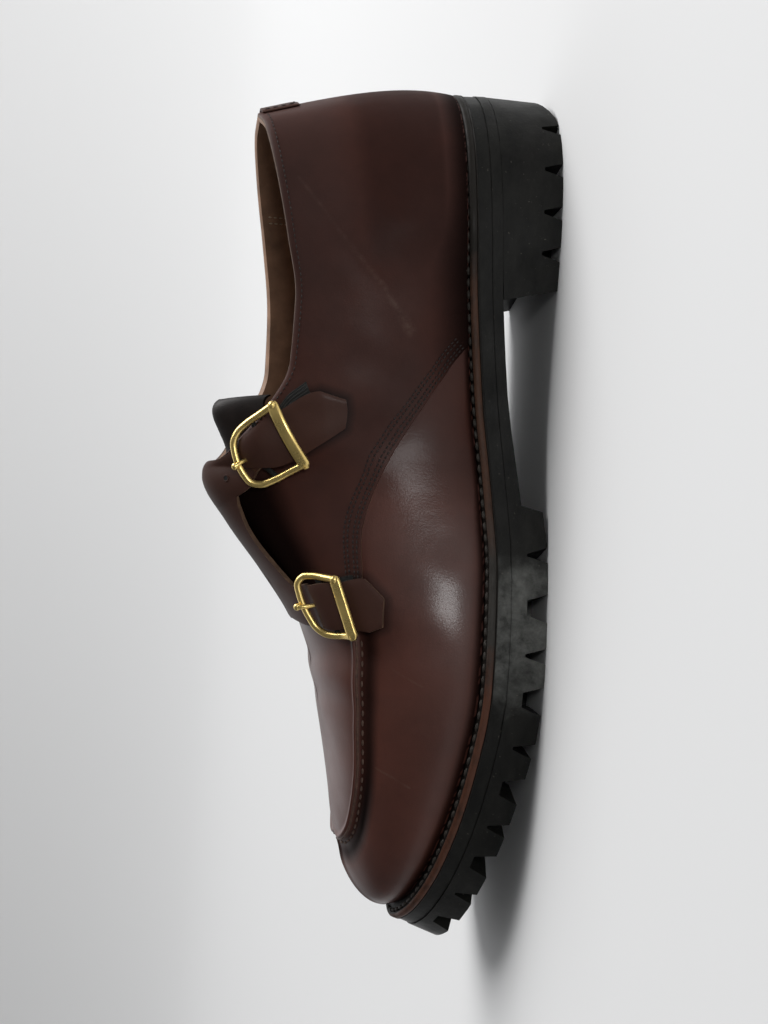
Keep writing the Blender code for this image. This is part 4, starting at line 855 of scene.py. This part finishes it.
def make_upper():
    """Quarters, vamp and lining as one wall; the grid is finer at the quarter's edge and at the toe."""
    behind = np.concatenate([np.linspace(0.0, 0.955, 150), 1.0 - np.geomspace(0.04, 0.0008, 18), [1.0]])
    ahead = np.concatenate([[0.0], np.geomspace(0.002, 0.02, 7), np.linspace(0.027, 0.965, 150),
                            1.0 - np.geomspace(0.03, 0.0008, 12), [1.0]])
    mark, mark_in = np.linspace(0.0, 1.0, 108), np.linspace(0.0, 1.0, 25)
    split = len(behind)
    piece = Piece()
    for side in (LATERAL, MEDIAL):
        peak = PEAK / quarter_edge(side, 1.0)
        back = behind.copy()
        back[np.abs(back - peak).argmin()] = peak
        part = np.concatenate([back, ahead])[:, None]
        quarter = np.arange(len(part))[:, None] < split
        share, rise = seam_rows(side, part, quarter, mark)
        outer = skin(side, share, rise, upper_lift(side, part, quarter, share, rise))
        outer[:, 0], _ = foot_points(side, share[:, 0], np.where(quarter[:, 0], QUARTER_STEP, 0.0))
        dull = dull_places(side, share, rise, quarter)
        piece.grid(outer[:split], 0, dull=dull[:split])
        piece.grid(outer[split - 1:split + 1], 1)
        piece.grid(outer[split:], 3, dull=dull[split:])
        share_in = panel_share(quarter_edge(side, mark_in), part, quarter)
        inner = skin(side, share_in, mark_in, -WALL)
        inner[:, 0], _ = foot_points(side, share_in[:, 0], -WALL)
        piece.grid(inner, 2)
        piece.grid(np.stack([outer[:, 0], inner[:, 0]]), 2)
        collar = share[:, -1] <= PEAK + 1e-6
        a, b = outer[collar, -1], inner[collar, -1]
        lifted = np.array([0.0, 0.0, 0.35])
        crest = a * 0.66 + b * 0.34 + lifted
        piece.grid(np.stack([a, crest]), 1)
        piece.grid(np.stack([crest, a * 0.3 + b * 0.7 + lifted * 0.6, b]), 2)
    piece.build("upper_leather", [QUARTER, RAW_EDGE, LINING, VAMP], "upper", 60.0)


def make_upper_stitches():
    """Rows along the quarter's edge and the collar, the apron's lip and stitches, the lining's seam."""
    dark, apron = Piece(), Piece()
    for side in (LATERAL, MEDIAL):
        rise = np.linspace(0.03, 0.60 if side == LATERAL else 0.66, 240)
        share = quarter_edge(side, rise)
        for distance in (1.1, 2.2, 3.8, 4.9):
            stitches(dark, *on_path(side, *beside(share, rise, distance), QUARTER_STEP), SEAM_ROW)
        share = np.linspace(0.028, 0.452, 220)
        stitches(dark, *on_path(side, share, 1.0 - 2.2 / girth(share), QUARTER_STEP), COLLAR_ROW)
        share = np.linspace(0.640, 0.998, 200)
        rise = smooth(APRON_SEAM, 1, share)
        for distance, depth in ((-0.75, 0.12), (-2.3, 0.0)):
            s, r = beside(share, rise, distance)
            line, out = on_path(side, s, r, apron_relief(s, r) + crease_relief(side, s, r) - depth)
            if depth:
                tube(apron, line, 0.5, 0.45, out, 8, slot=1)
            else:
                stitches(apron, line, out, APRON_ROW)
    for place in (0.170, 0.177):
        line, out = on_path(MEDIAL, place, np.linspace(0.60, 0.97, 40), -WALL)
        stitches(apron, line, -out, LINING_ROW, slot=2)
    dark.build_thread("seam_stitches", [THREAD], "oxblood_leather")
    apron.build_thread("apron_stitches", [APRON_THREAD, LIP, LINING_THREAD], "oxblood_leather")


# Flap, straps, buckles

def strap_place(table, run, k):
    """Edge share, rise and underside of a strap at a run from the ridge and k from rear to front."""
    def columns(at):
        return [smooth(table, c, at) for c in range(1, 6)]
    if run > TIP_RUN:
        t = (run - TIP_RUN) / (1.0 - TIP_RUN)
        row = [between(a, b, t) for a, b in zip(columns(TIP_RUN), columns(1.0))]
    else:
        row = columns(run)
    rear_share, rear_rise, front_share, front_rise, under = row
    return between(rear_share, front_share, k), between(rear_rise, front_rise, k), under


def sheet(name, materials, places, node):
    """Closed leather sheet over grid places: each has side, edge share, rise, underside and thickness."""
    keys = list(places)
    index = {key: i for i, key in enumerate(keys)}
    values = np.array([places[key] for key in keys])
    outer, inner = np.empty((len(keys), 3)), np.empty((len(keys), 3))
    for side in (LATERAL, MEDIAL):
        pick = values[:, 0] == side
        if pick.any():
            share, rise, under, thick = values[pick, 1:].T
            inner[pick] = skin(side, share, rise, under)
            outer[pick] = skin(side, share, rise, under + thick)
    piece = Piece()
    piece.points = [outer, inner]
    piece.count = 2 * len(keys)
    uses = {}
    for i, j in keys:
        corners = ((i, j), (i + 1, j), (i + 1, j + 1), (i, j + 1))
        if not all(c in index for c in corners):
            continue
        ids = [index[c] for c in corners]
        piece.faces.append(ids)
        piece.faces.append([len(keys) + a for a in ids[::-1]])
        piece.slots.extend([0, len(materials) - 1])
        for a, b in zip(ids, ids[1:] + ids[:1]):
            uses.setdefault((min(a, b), max(a, b)), []).append((a, b))
    for (a, b), found in uses.items():
        if len(found) == 1:
            piece.faces.append([b, a, len(keys) + a, len(keys) + b])
            piece.slots.append(1)
    item = piece.build(name, materials, node, 40.0)
    soften = item.modifiers.new("edge", "BEVEL")
    soften.width = EDGE_ROUND * MM
    soften.segments = 2
    soften.limit_method = "ANGLE"
    soften.angle_limit = math.radians(50.0)


def make_flap():
    """Flap with its two straps: columns run from rear to front, rows from inner to outer side."""
    strap, hollow, inner_rows, body = 14, 12, 22, 12
    columns = 2 * strap + hollow
    runs = np.concatenate([np.linspace(0.0, BODY_END, body + 1)[1:], np.linspace(BODY_END, TIP_RUN, 37)[1:],
                           np.linspace(TIP_RUN, 1.0, 8)[1:]])
    places = {}
    ridge = [strap_place(STRAP_UPPER, 0.0, k / strap)[0] for k in range(strap + 1)]
    last = [strap_place(STRAP_LOWER, 0.0, k / strap)[0] for k in range(strap + 1)]
    ridge += list(np.linspace(ridge[-1], last[0], hollow + 1)[1:-1]) + last
    spread = (np.array(ridge) - ridge[0]) / (ridge[-1] - ridge[0])
    for j in range(inner_rows + 1):
        run = 1.0 - j / inner_rows
        rise, rear, front, low_rear, low_front, thick = (smooth(FLAP_INNER_SIDE, c, run) for c in range(1, 7))
        for i in range(columns + 1):
            under = between(low_rear, low_front, spread[i])
            places[i, j] = (MEDIAL, between(rear, front, spread[i]), rise, under, thick)
    for step, run in enumerate(runs, 1):
        j = inner_rows + step
        for k in range(strap + 1):
            for table, first in ((STRAP_UPPER, 0), (STRAP_LOWER, columns - strap)):
                share, rise, under = strap_place(table, run, k / strap)
                thick = LEATHER - EDGE_THINNING * abs(2.0 * k / strap - 1.0) ** 8
                places[first + k, j] = (LATERAL, share, rise, under, thick)
        if step <= body:
            a, b = strap_place(STRAP_UPPER, run, 1.0), strap_place(STRAP_LOWER, run, 0.0)
            for k in range(1, hollow):
                t = k / hollow
                share, rise, under = (between(x, y, t) for x, y in zip(a, b))
                lift = CUT_DEPTH * step / body * 4 * t * (1 - t)
                places[strap + k, j] = (LATERAL, share, rise + lift, under, LEATHER)
    sheet("flap_and_straps", [STRAP, RAW_EDGE, LINING], places, "monk_flap")


def make_hole(share, rise):
    """Spare prong hole in the upper strap: a dark disc painted as the shade inside it, in a raised ring."""
    centre, up = on_path(LATERAL, share, rise, 2.5 + LEATHER)
    side = unit(np.cross(up, (0.0, 1.0, 0.0)))
    turn = np.linspace(0.0, 2.0 * math.pi, 24, endpoint=False)[:, None]
    ring = np.cos(turn) * side + np.sin(turn) * np.cross(up, side)
    piece = Piece()
    piece.fan(centre + up * 0.10 + ring * 0.95)
    tube(piece, centre + up * 0.02 + ring * 1.05, 0.24, 0.20, up, 10, True, slot=1)
    piece.build("strap_hole", [HOLE_SHADE, STRAP], None, 60.0)


def frame_corners(buckle):
    """Ends of a buckle's bar and of its curve."""
    return [skin(LATERAL, *place) for place in buckle["bar"] + buckle["curve"]]


def frame_axes(buckle):
    """Directions of a buckle: along the bar and out of its plane."""
    a, b, c, d = frame_corners(buckle)
    along = unit(b - a + d - c)
    up = unit(np.cross(c - a + d - b, along))
    return along, up if up[2] >= 0.0 else -up


def frame_point(buckle, u, v):
    """Point on a buckle's bowed middle sheet: u along the bar, v from bar to curve."""
    a, b, c, d = frame_corners(buckle)
    flat = a * (1 - u) * (1 - v) + b * u * (1 - v) + c * (1 - u) * v + d * u * v
    bow = (buckle["bar_bow"] * (1 - v) + buckle["curve_bow"] * v) * 4 * u * (1 - u)
    return flat + frame_axes(buckle)[1] * (bow - buckle["dip"] * 4 * v * (1 - v))


def middle_bar(buckle, u):
    """Point on the bar under the strap, which ends in the frame's sides."""
    if u in (0.0, 1.0):
        return frame_point(buckle, u, 0.5)
    corners = np.array(buckle["bar"] + buckle["curve"])
    rear, front = (corners[0] + corners[2]) / 2, (corners[1] + corners[3]) / 2
    share, rise, _ = rear * (1 - u) + front * u
    return skin(LATERAL, share, rise, MIDDLE_BAR_LIFT)


def make_buckle(which, buckle):
    """Brass frame with its flat front bar and dark middle bar, and the prong."""
    along, up = frame_axes(buckle)
    piece = Piece()
    rail = spline([frame_point(buckle, u, v) for u, v in FRAME_CURVE], 8)
    tube(piece, rail, *RAIL_SIZE, up, 20)
    reach = np.linspace(-0.04, 1.07, 33)
    bar = np.array([frame_point(buckle, u, 0.0) for u in reach])
    taper = 1.0 - 0.55 * ramp(reach, 1.0, 1.07) - 0.25 * ramp(-reach, -0.01, 0.04)
    tube(piece, bar, *(BAR_SIZE * taper), up, 24, power=3.2)
    middle = spline([middle_bar(buckle, u) for u in (0.0, 0.12, 0.3, 0.5, 0.7, 0.88, 1.0)], 4)
    tube(piece, middle, MIDDLE_BAR_RADIUS, MIDDLE_BAR_RADIUS, up, 12, slot=1)
    ball(piece, frame_point(buckle, 0.0, 0.0) + up * 0.1, BAR_KNOB)
    piece.build("buckle_" + which + "_brass", [BRASS, ELASTIC], "buckle_" + which, 60.0)
    prong = Piece()
    start, end = middle_bar(buckle, 0.5), frame_point(buckle, 0.5, 1.0)
    path = spline([start + (end - start) * (v - 0.5) / 0.5 + up * h for v, h, _ in PRONG], 6)
    radius = np.interp(np.linspace(0, 1, len(path)), np.linspace(0, 1, len(PRONG)), [r for _, _, r in PRONG])
    tube(prong, path, radius, radius * 0.8, along, 16)
    ball(prong, path[-7], PRONG_KNOB)
    prong.build("prong_" + which + "_brass", [BRASS], "prong_" + which, 60.0)


def make_tab(which, rows):
    """Ribbed elastic that holds the buckle on the outer quarter."""
    across, fine = 40, 24
    table = np.array([(j / (len(rows) - 1), *row) for j, row in enumerate(rows)])
    places = {}
    for j in range(fine + 1):
        a, b, c, d = (smooth(table, k, j / fine) for k in range(1, 5))
        for k in range(across + 1):
            share, rise = between(a, c, k / across), between(b, d, k / across)
            places[k, j] = (LATERAL, share, rise, TAB_LIFT, TAB_THICK + (TAB_RIB if k % 2 == 0 else -TAB_RIB))
    sheet("elastic_" + which, [ELASTIC, ELASTIC], places, "buckle_tab_" + which)


def make_heel_tab():
    """Small tab over the back seam, stitched round."""
    across, tall, under = 20, 16, QUARTER_STEP + GAP
    places = {}
    for i in range(across + 1):
        k = 2.0 * i / across - 1.0
        side = LATERAL if k <= 0 else MEDIAL
        for j in range(tall + 1):
            rise = between(HEEL_TAB_LOW, HEEL_TAB_HIGH, j / tall)
            thick = HEEL_TAB_THICK - 0.5 * max(abs(k), 1.0 - 2.0 * j / tall) ** 6
            places[i, j] = (side, abs(k) * HEEL_TAB_SHARE, rise, under, thick)
    sheet("heel_tab_leather", [STRAP, STRAP], places, "heel_tab")
    thread = Piece()
    over = under + HEEL_TAB_THICK
    rise = np.linspace(HEEL_TAB_LOW + 0.02, HEEL_TAB_HIGH - 0.01, 30)
    share = np.linspace(0.0005, HEEL_TAB_SHARE * 0.70, 30)
    for side in (LATERAL, MEDIAL):
        stitches(thread, *on_path(side, HEEL_TAB_SHARE * 0.72, rise, over - 0.1), HEEL_TAB_ROW)
        stitches(thread, *on_path(side, share, HEEL_TAB_LOW + 0.022, over - 0.05), HEEL_TAB_ROW)
    thread.build_thread("heel_tab_stitches", [THREAD], "oxblood_leather")


def make_tongue():
    """Thin leather under the instep whose end stands up behind the flap."""
    rises = np.linspace(TONGUE_EDGE, 1.0, 30)
    runs = np.linspace(0.0, 1.0, 60)
    section, under, back, up, width, sweep = (smooth(TONGUE, c, runs)[:, None] for c in range(1, 7))
    skins = []
    for depth in (0.0, TONGUE_THICK):
        half = {}
        for side in (LATERAL, MEDIAL):
            point = skin(side, section, rises, -(WALL + under + depth))
            point[..., 0] *= width
            point[..., 1] -= back + sweep * ((1.0 - rises) / (1.0 - TONGUE_EDGE)) ** SWEEP_POWER
            point[..., 2] += up
            half[side] = point
        skins.append(np.concatenate([half[LATERAL], half[MEDIAL][:, -2::-1]], 1))
    piece = Piece()
    for points in skins:
        piece.grid(points)
    for row in (0, -1):
        piece.grid(np.stack([skins[0][row], skins[1][row]]))
        piece.grid(np.stack([skins[0][:, row], skins[1][:, row]]))
    piece.build("tongue_soft", [TONGUE_SKIN], "tongue", 50.0)


# Sole

GROOVE_MIDDLE = (2.1, 0.2)              # distance from the sole's edge and depth of the stitches in the welt


def make_welt():
    """Leather strip round the upper with a stitched groove in its dark top."""
    share = 0.5 * (1.0 - np.cos(np.linspace(0.0, math.pi, 220)))

    def ring(inset, depth):
        """Line round the welt; without an inset it lies under the upper's wall."""
        return np.concatenate([
            sole_points(side, s, smooth(LEDGE, 1, s) + WALL if inset is None else inset, depth)
            for side, s in ((LATERAL, share), (MEDIAL, share[-2:0:-1]))])
    foot = [ring(i, d) for i, d in ((0.0, WELT_THICK), (-0.1, 2.7), (0.15, 2.45))]
    bevel = ((-0.1, 2.2), (-0.15, 1.5), (-0.1, 0.8), (0.2, 0.3), (0.6, 0.0))
    edge = [foot[-1]] + [ring(i, d) for i, d in bevel]
    groove = ((1.2, 0.0), (1.6, 0.25), (2.6, 0.25), (3.0, 0.0), (None, 0.0))
    top = [edge[-1]] + [ring(i, d) for i, d in groove]
    under = [top[-1], ring(None, WELT_THICK), foot[0]]
    piece = Piece()
    for lines, slot in ((foot, 0), (edge, 1), (top, 0), (under, 0)):
        piece.grid(np.stack(lines, 1), slot, True)
    piece.build("welt_leather_strip", [WELT_DARK, WELT_BROWN], "welt", 60.0)
    thread = Piece()
    share = np.linspace(0.05, 0.999, 500)
    for side in (LATERAL, MEDIAL):
        path = sole_points(side, share, *GROOVE_MIDDLE)
        stitches(thread, path, np.tile((0.0, 0.0, 1.0), (len(path), 1)), WELT_ROW, 0.25)
    thread.build_thread("welt_stitches", [WELT_THREAD], "welt_leather")


def make_rubber(node):
    """A rubber piece whose side wall is shaded round, its lugs and cuts flat."""
    mesh = bpy.data.meshes.new(node + "_rubber")
    work = bmesh.new()
    work.from_mesh(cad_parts[node].data)
    bmesh.ops.remove_doubles(work, verts=work.verts, dist=1e-6)
    work.to_mesh(mesh)
    work.free()
    edge, outs = (np.concatenate([EDGE[side][k] for side in (LATERAL, MEDIAL)]) for k in (1, 2))
    places = np.array([v.co[:2] for v in mesh.vertices]) / MM
    near = np.array([np.argmin(((edge - place) ** 2).sum(1)) for place in places])
    normals = []
    for face in mesh.polygons:
        flat = np.array(face.normal)
        around = outs[near[list(face.vertices)]]
        level = np.linalg.norm(flat[:2])
        wall = abs(flat[2]) < 0.5 and (around.mean(0) @ flat[:2]) > 0.9 * level
        normals += [(out[0] * level, out[1] * level, flat[2]) if wall else tuple(flat) for out in around]
    mesh.shade_smooth()
    mesh.normals_split_custom_set(normals)
    mesh.materials.clear()
    mesh.materials.append(RUBBER)
    item = put(node + "_rubber", mesh)
    item.matrix_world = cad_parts[node].matrix_world
    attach(item, "root")
    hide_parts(node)


def make_sole_seams():
    """Cement in the fine joints between the sole's layers."""
    outsole = WELT_THICK + MIDSOLE_THICK
    joints = (
        # depth of the joint under the welt's top, how far forward it runs by edge share
        (WELT_THICK, 1.0), (outsole, 1.0), (outsole + HEEL_WEB + GAP, HEEL_BREAST),
    )
    outer, inner, low, high = 0.42, 1.6, 0.02, GAP - 0.02
    piece = Piece()
    for depth, reach in joints:
        share = reach * 0.5 * (1.0 - np.cos(np.linspace(0.0, math.pi, 160)))
        rounds = ((LATERAL, share[::-1]), (MEDIAL, share[1:]))
        strip = np.stack([
            np.concatenate([sole_points(side, s, inset, depth + d) for side, s in rounds])
            for inset, d in ((outer, low), (outer, high), (inner, high), (inner, low))])
        piece.grid(strip, close_rows=True)
        if reach < 1.0:
            piece.fan(strip[:, 0])
            piece.fan(strip[:, -1])
    piece.build("sole_seams", [RUBBER], None, 60.0)


def paint(node, material):
    """Look of a CAD node that is shown as it is."""
    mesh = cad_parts[node].data
    mesh.materials.clear()
    mesh.materials.append(material)


make_upper()
make_upper_stitches()
make_flap()
make_buckle("upper", BUCKLE_UPPER)
make_buckle("lower", BUCKLE_LOWER)
make_tab("upper", TAB_UPPER)
make_tab("lower", TAB_LOWER)
make_hole(*SPARE_HOLE)
make_heel_tab()
make_tongue()
make_welt()
make_sole_seams()
for node in ("heel", "outsole", "midsole"):
    make_rubber(node)
paint("insole", FOOTBED)


# Floor, light and camera, in metres

PHOTO_WIDTH, PHOTO_HEIGHT = 768.0, 1024.0    # pixels
PHOTO_FOCUS = 1540.0                         # focal length in the photo's pixels
SHOE_MIDDLE = (510.0, 518.0)                 # the shoe's middle in the photo, in pixels
ENLARGED = 1.27                              # size of the shoe against the photo


def aim(item, right, up, back, place):
    """Puts an object at a place, with its own axes to the right, up and back."""
    matrix = np.eye(4)
    matrix[:3] = np.stack([right, up, back, place], 1)
    item.matrix_world = Matrix(matrix.tolist())


def make_floor():
    """Pale floor that sweeps up a little far behind the shoe."""
    material, tree, shader = new_material("pale_floor")
    fill(tree, shader, {"Base Color": (0.80, 0.80, 0.80, 1.0), "Roughness": 0.9, "Specular IOR Level": 0.1})
    bend, start, turn = 1.3, 1.2, np.linspace(0.0, math.radians(50.0), 40)[1:]
    line = [(-5.0, 0.0), (start, 0.0)]
    line += [(start + bend * math.sin(a), bend * (1.0 - math.cos(a))) for a in turn]
    points = [(x, y, z) for x, z in line for y in (-6.0, 6.0)]
    mesh = bpy.data.meshes.new("floor")
    mesh.from_pydata(points, [], [(2 * i, 2 * i + 2, 2 * i + 3, 2 * i + 1) for i in range(len(line) - 1)])
    mesh.shade_smooth()
    mesh.materials.append(material)
    floor = put("floor", mesh)


def soft_light(name, place, size, watts):
    """Square-edged soft light, turned to the shoe."""
    data = bpy.data.lights.new(name, "AREA")
    data.shape = "RECTANGLE"
    data.size, data.size_y = size
    data.energy = watts
    back = unit(np.array(place) - (0.0, 0.0, 0.05))
    side = unit(np.cross((0.0, 0.0, 1.0), back))
    aim(put(name, data), side, np.cross(back, side), back, place)


def make_light():
    """Bright from behind and dim in front, with a broad light above and a small one for the vamp."""
    world = bpy.data.worlds.new("studio")
    world.use_nodes = True
    tree = world.node_tree
    background = tree.nodes["Background"]
    background.inputs["Color"].default_value = (0.97, 0.98, 1.0, 1.0)
    way = add(tree, "ShaderNodeTexCoord").outputs["Generated"]
    behind = vectors(tree, "DOT_PRODUCT", way, (0.88, 0.0, 0.48), 1)
    tree.links.new(value_ramp(tree, behind, 0.09, 1.0, 0.60, 1.0), background.inputs["Strength"])
    bpy.context.scene.world = world
    soft_light("overhead", (0.55, -1.60, 2.00), (1.8, 2.0), 78.0)
    soft_light("front", (-1.24, -0.27, 0.13), (0.13, 0.28), 3.0)


def make_camera():
    """Camera at the outer side, rolled to the photo's angle and framed on the one shoe."""
    place = (-0.690, 0.0014, 0.170)
    down_tilt, roll = math.radians(5.3), math.radians(-3.8)
    view = np.array([math.cos(down_tilt), 0.0, -math.sin(down_tilt)])
    up = unit(np.array([0.0, 0.0, 1.0]) + view * math.sin(down_tilt))
    toe = np.cross(up, view)
    right = -math.cos(roll) * up + math.sin(roll) * toe
    down = math.cos(roll) * toe + math.sin(roll) * up
    data = bpy.data.cameras.new("camera")
    data.sensor_width = 36.0
    data.lens = data.sensor_width * PHOTO_FOCUS * ENLARGED / PHOTO_HEIGHT
    data.shift_x = (SHOE_MIDDLE[0] - PHOTO_WIDTH / 2) * ENLARGED / PHOTO_HEIGHT
    data.shift_y = (PHOTO_HEIGHT / 2 - SHOE_MIDDLE[1]) * ENLARGED / PHOTO_HEIGHT
    data.clip_start = 0.01
    camera = put("camera", data)
    aim(camera, right, -down, -view, place)
    bpy.context.scene.camera = camera


make_floor()
make_light()
make_camera()
bpy.context.scene.view_settings.view_transform = "Standard"
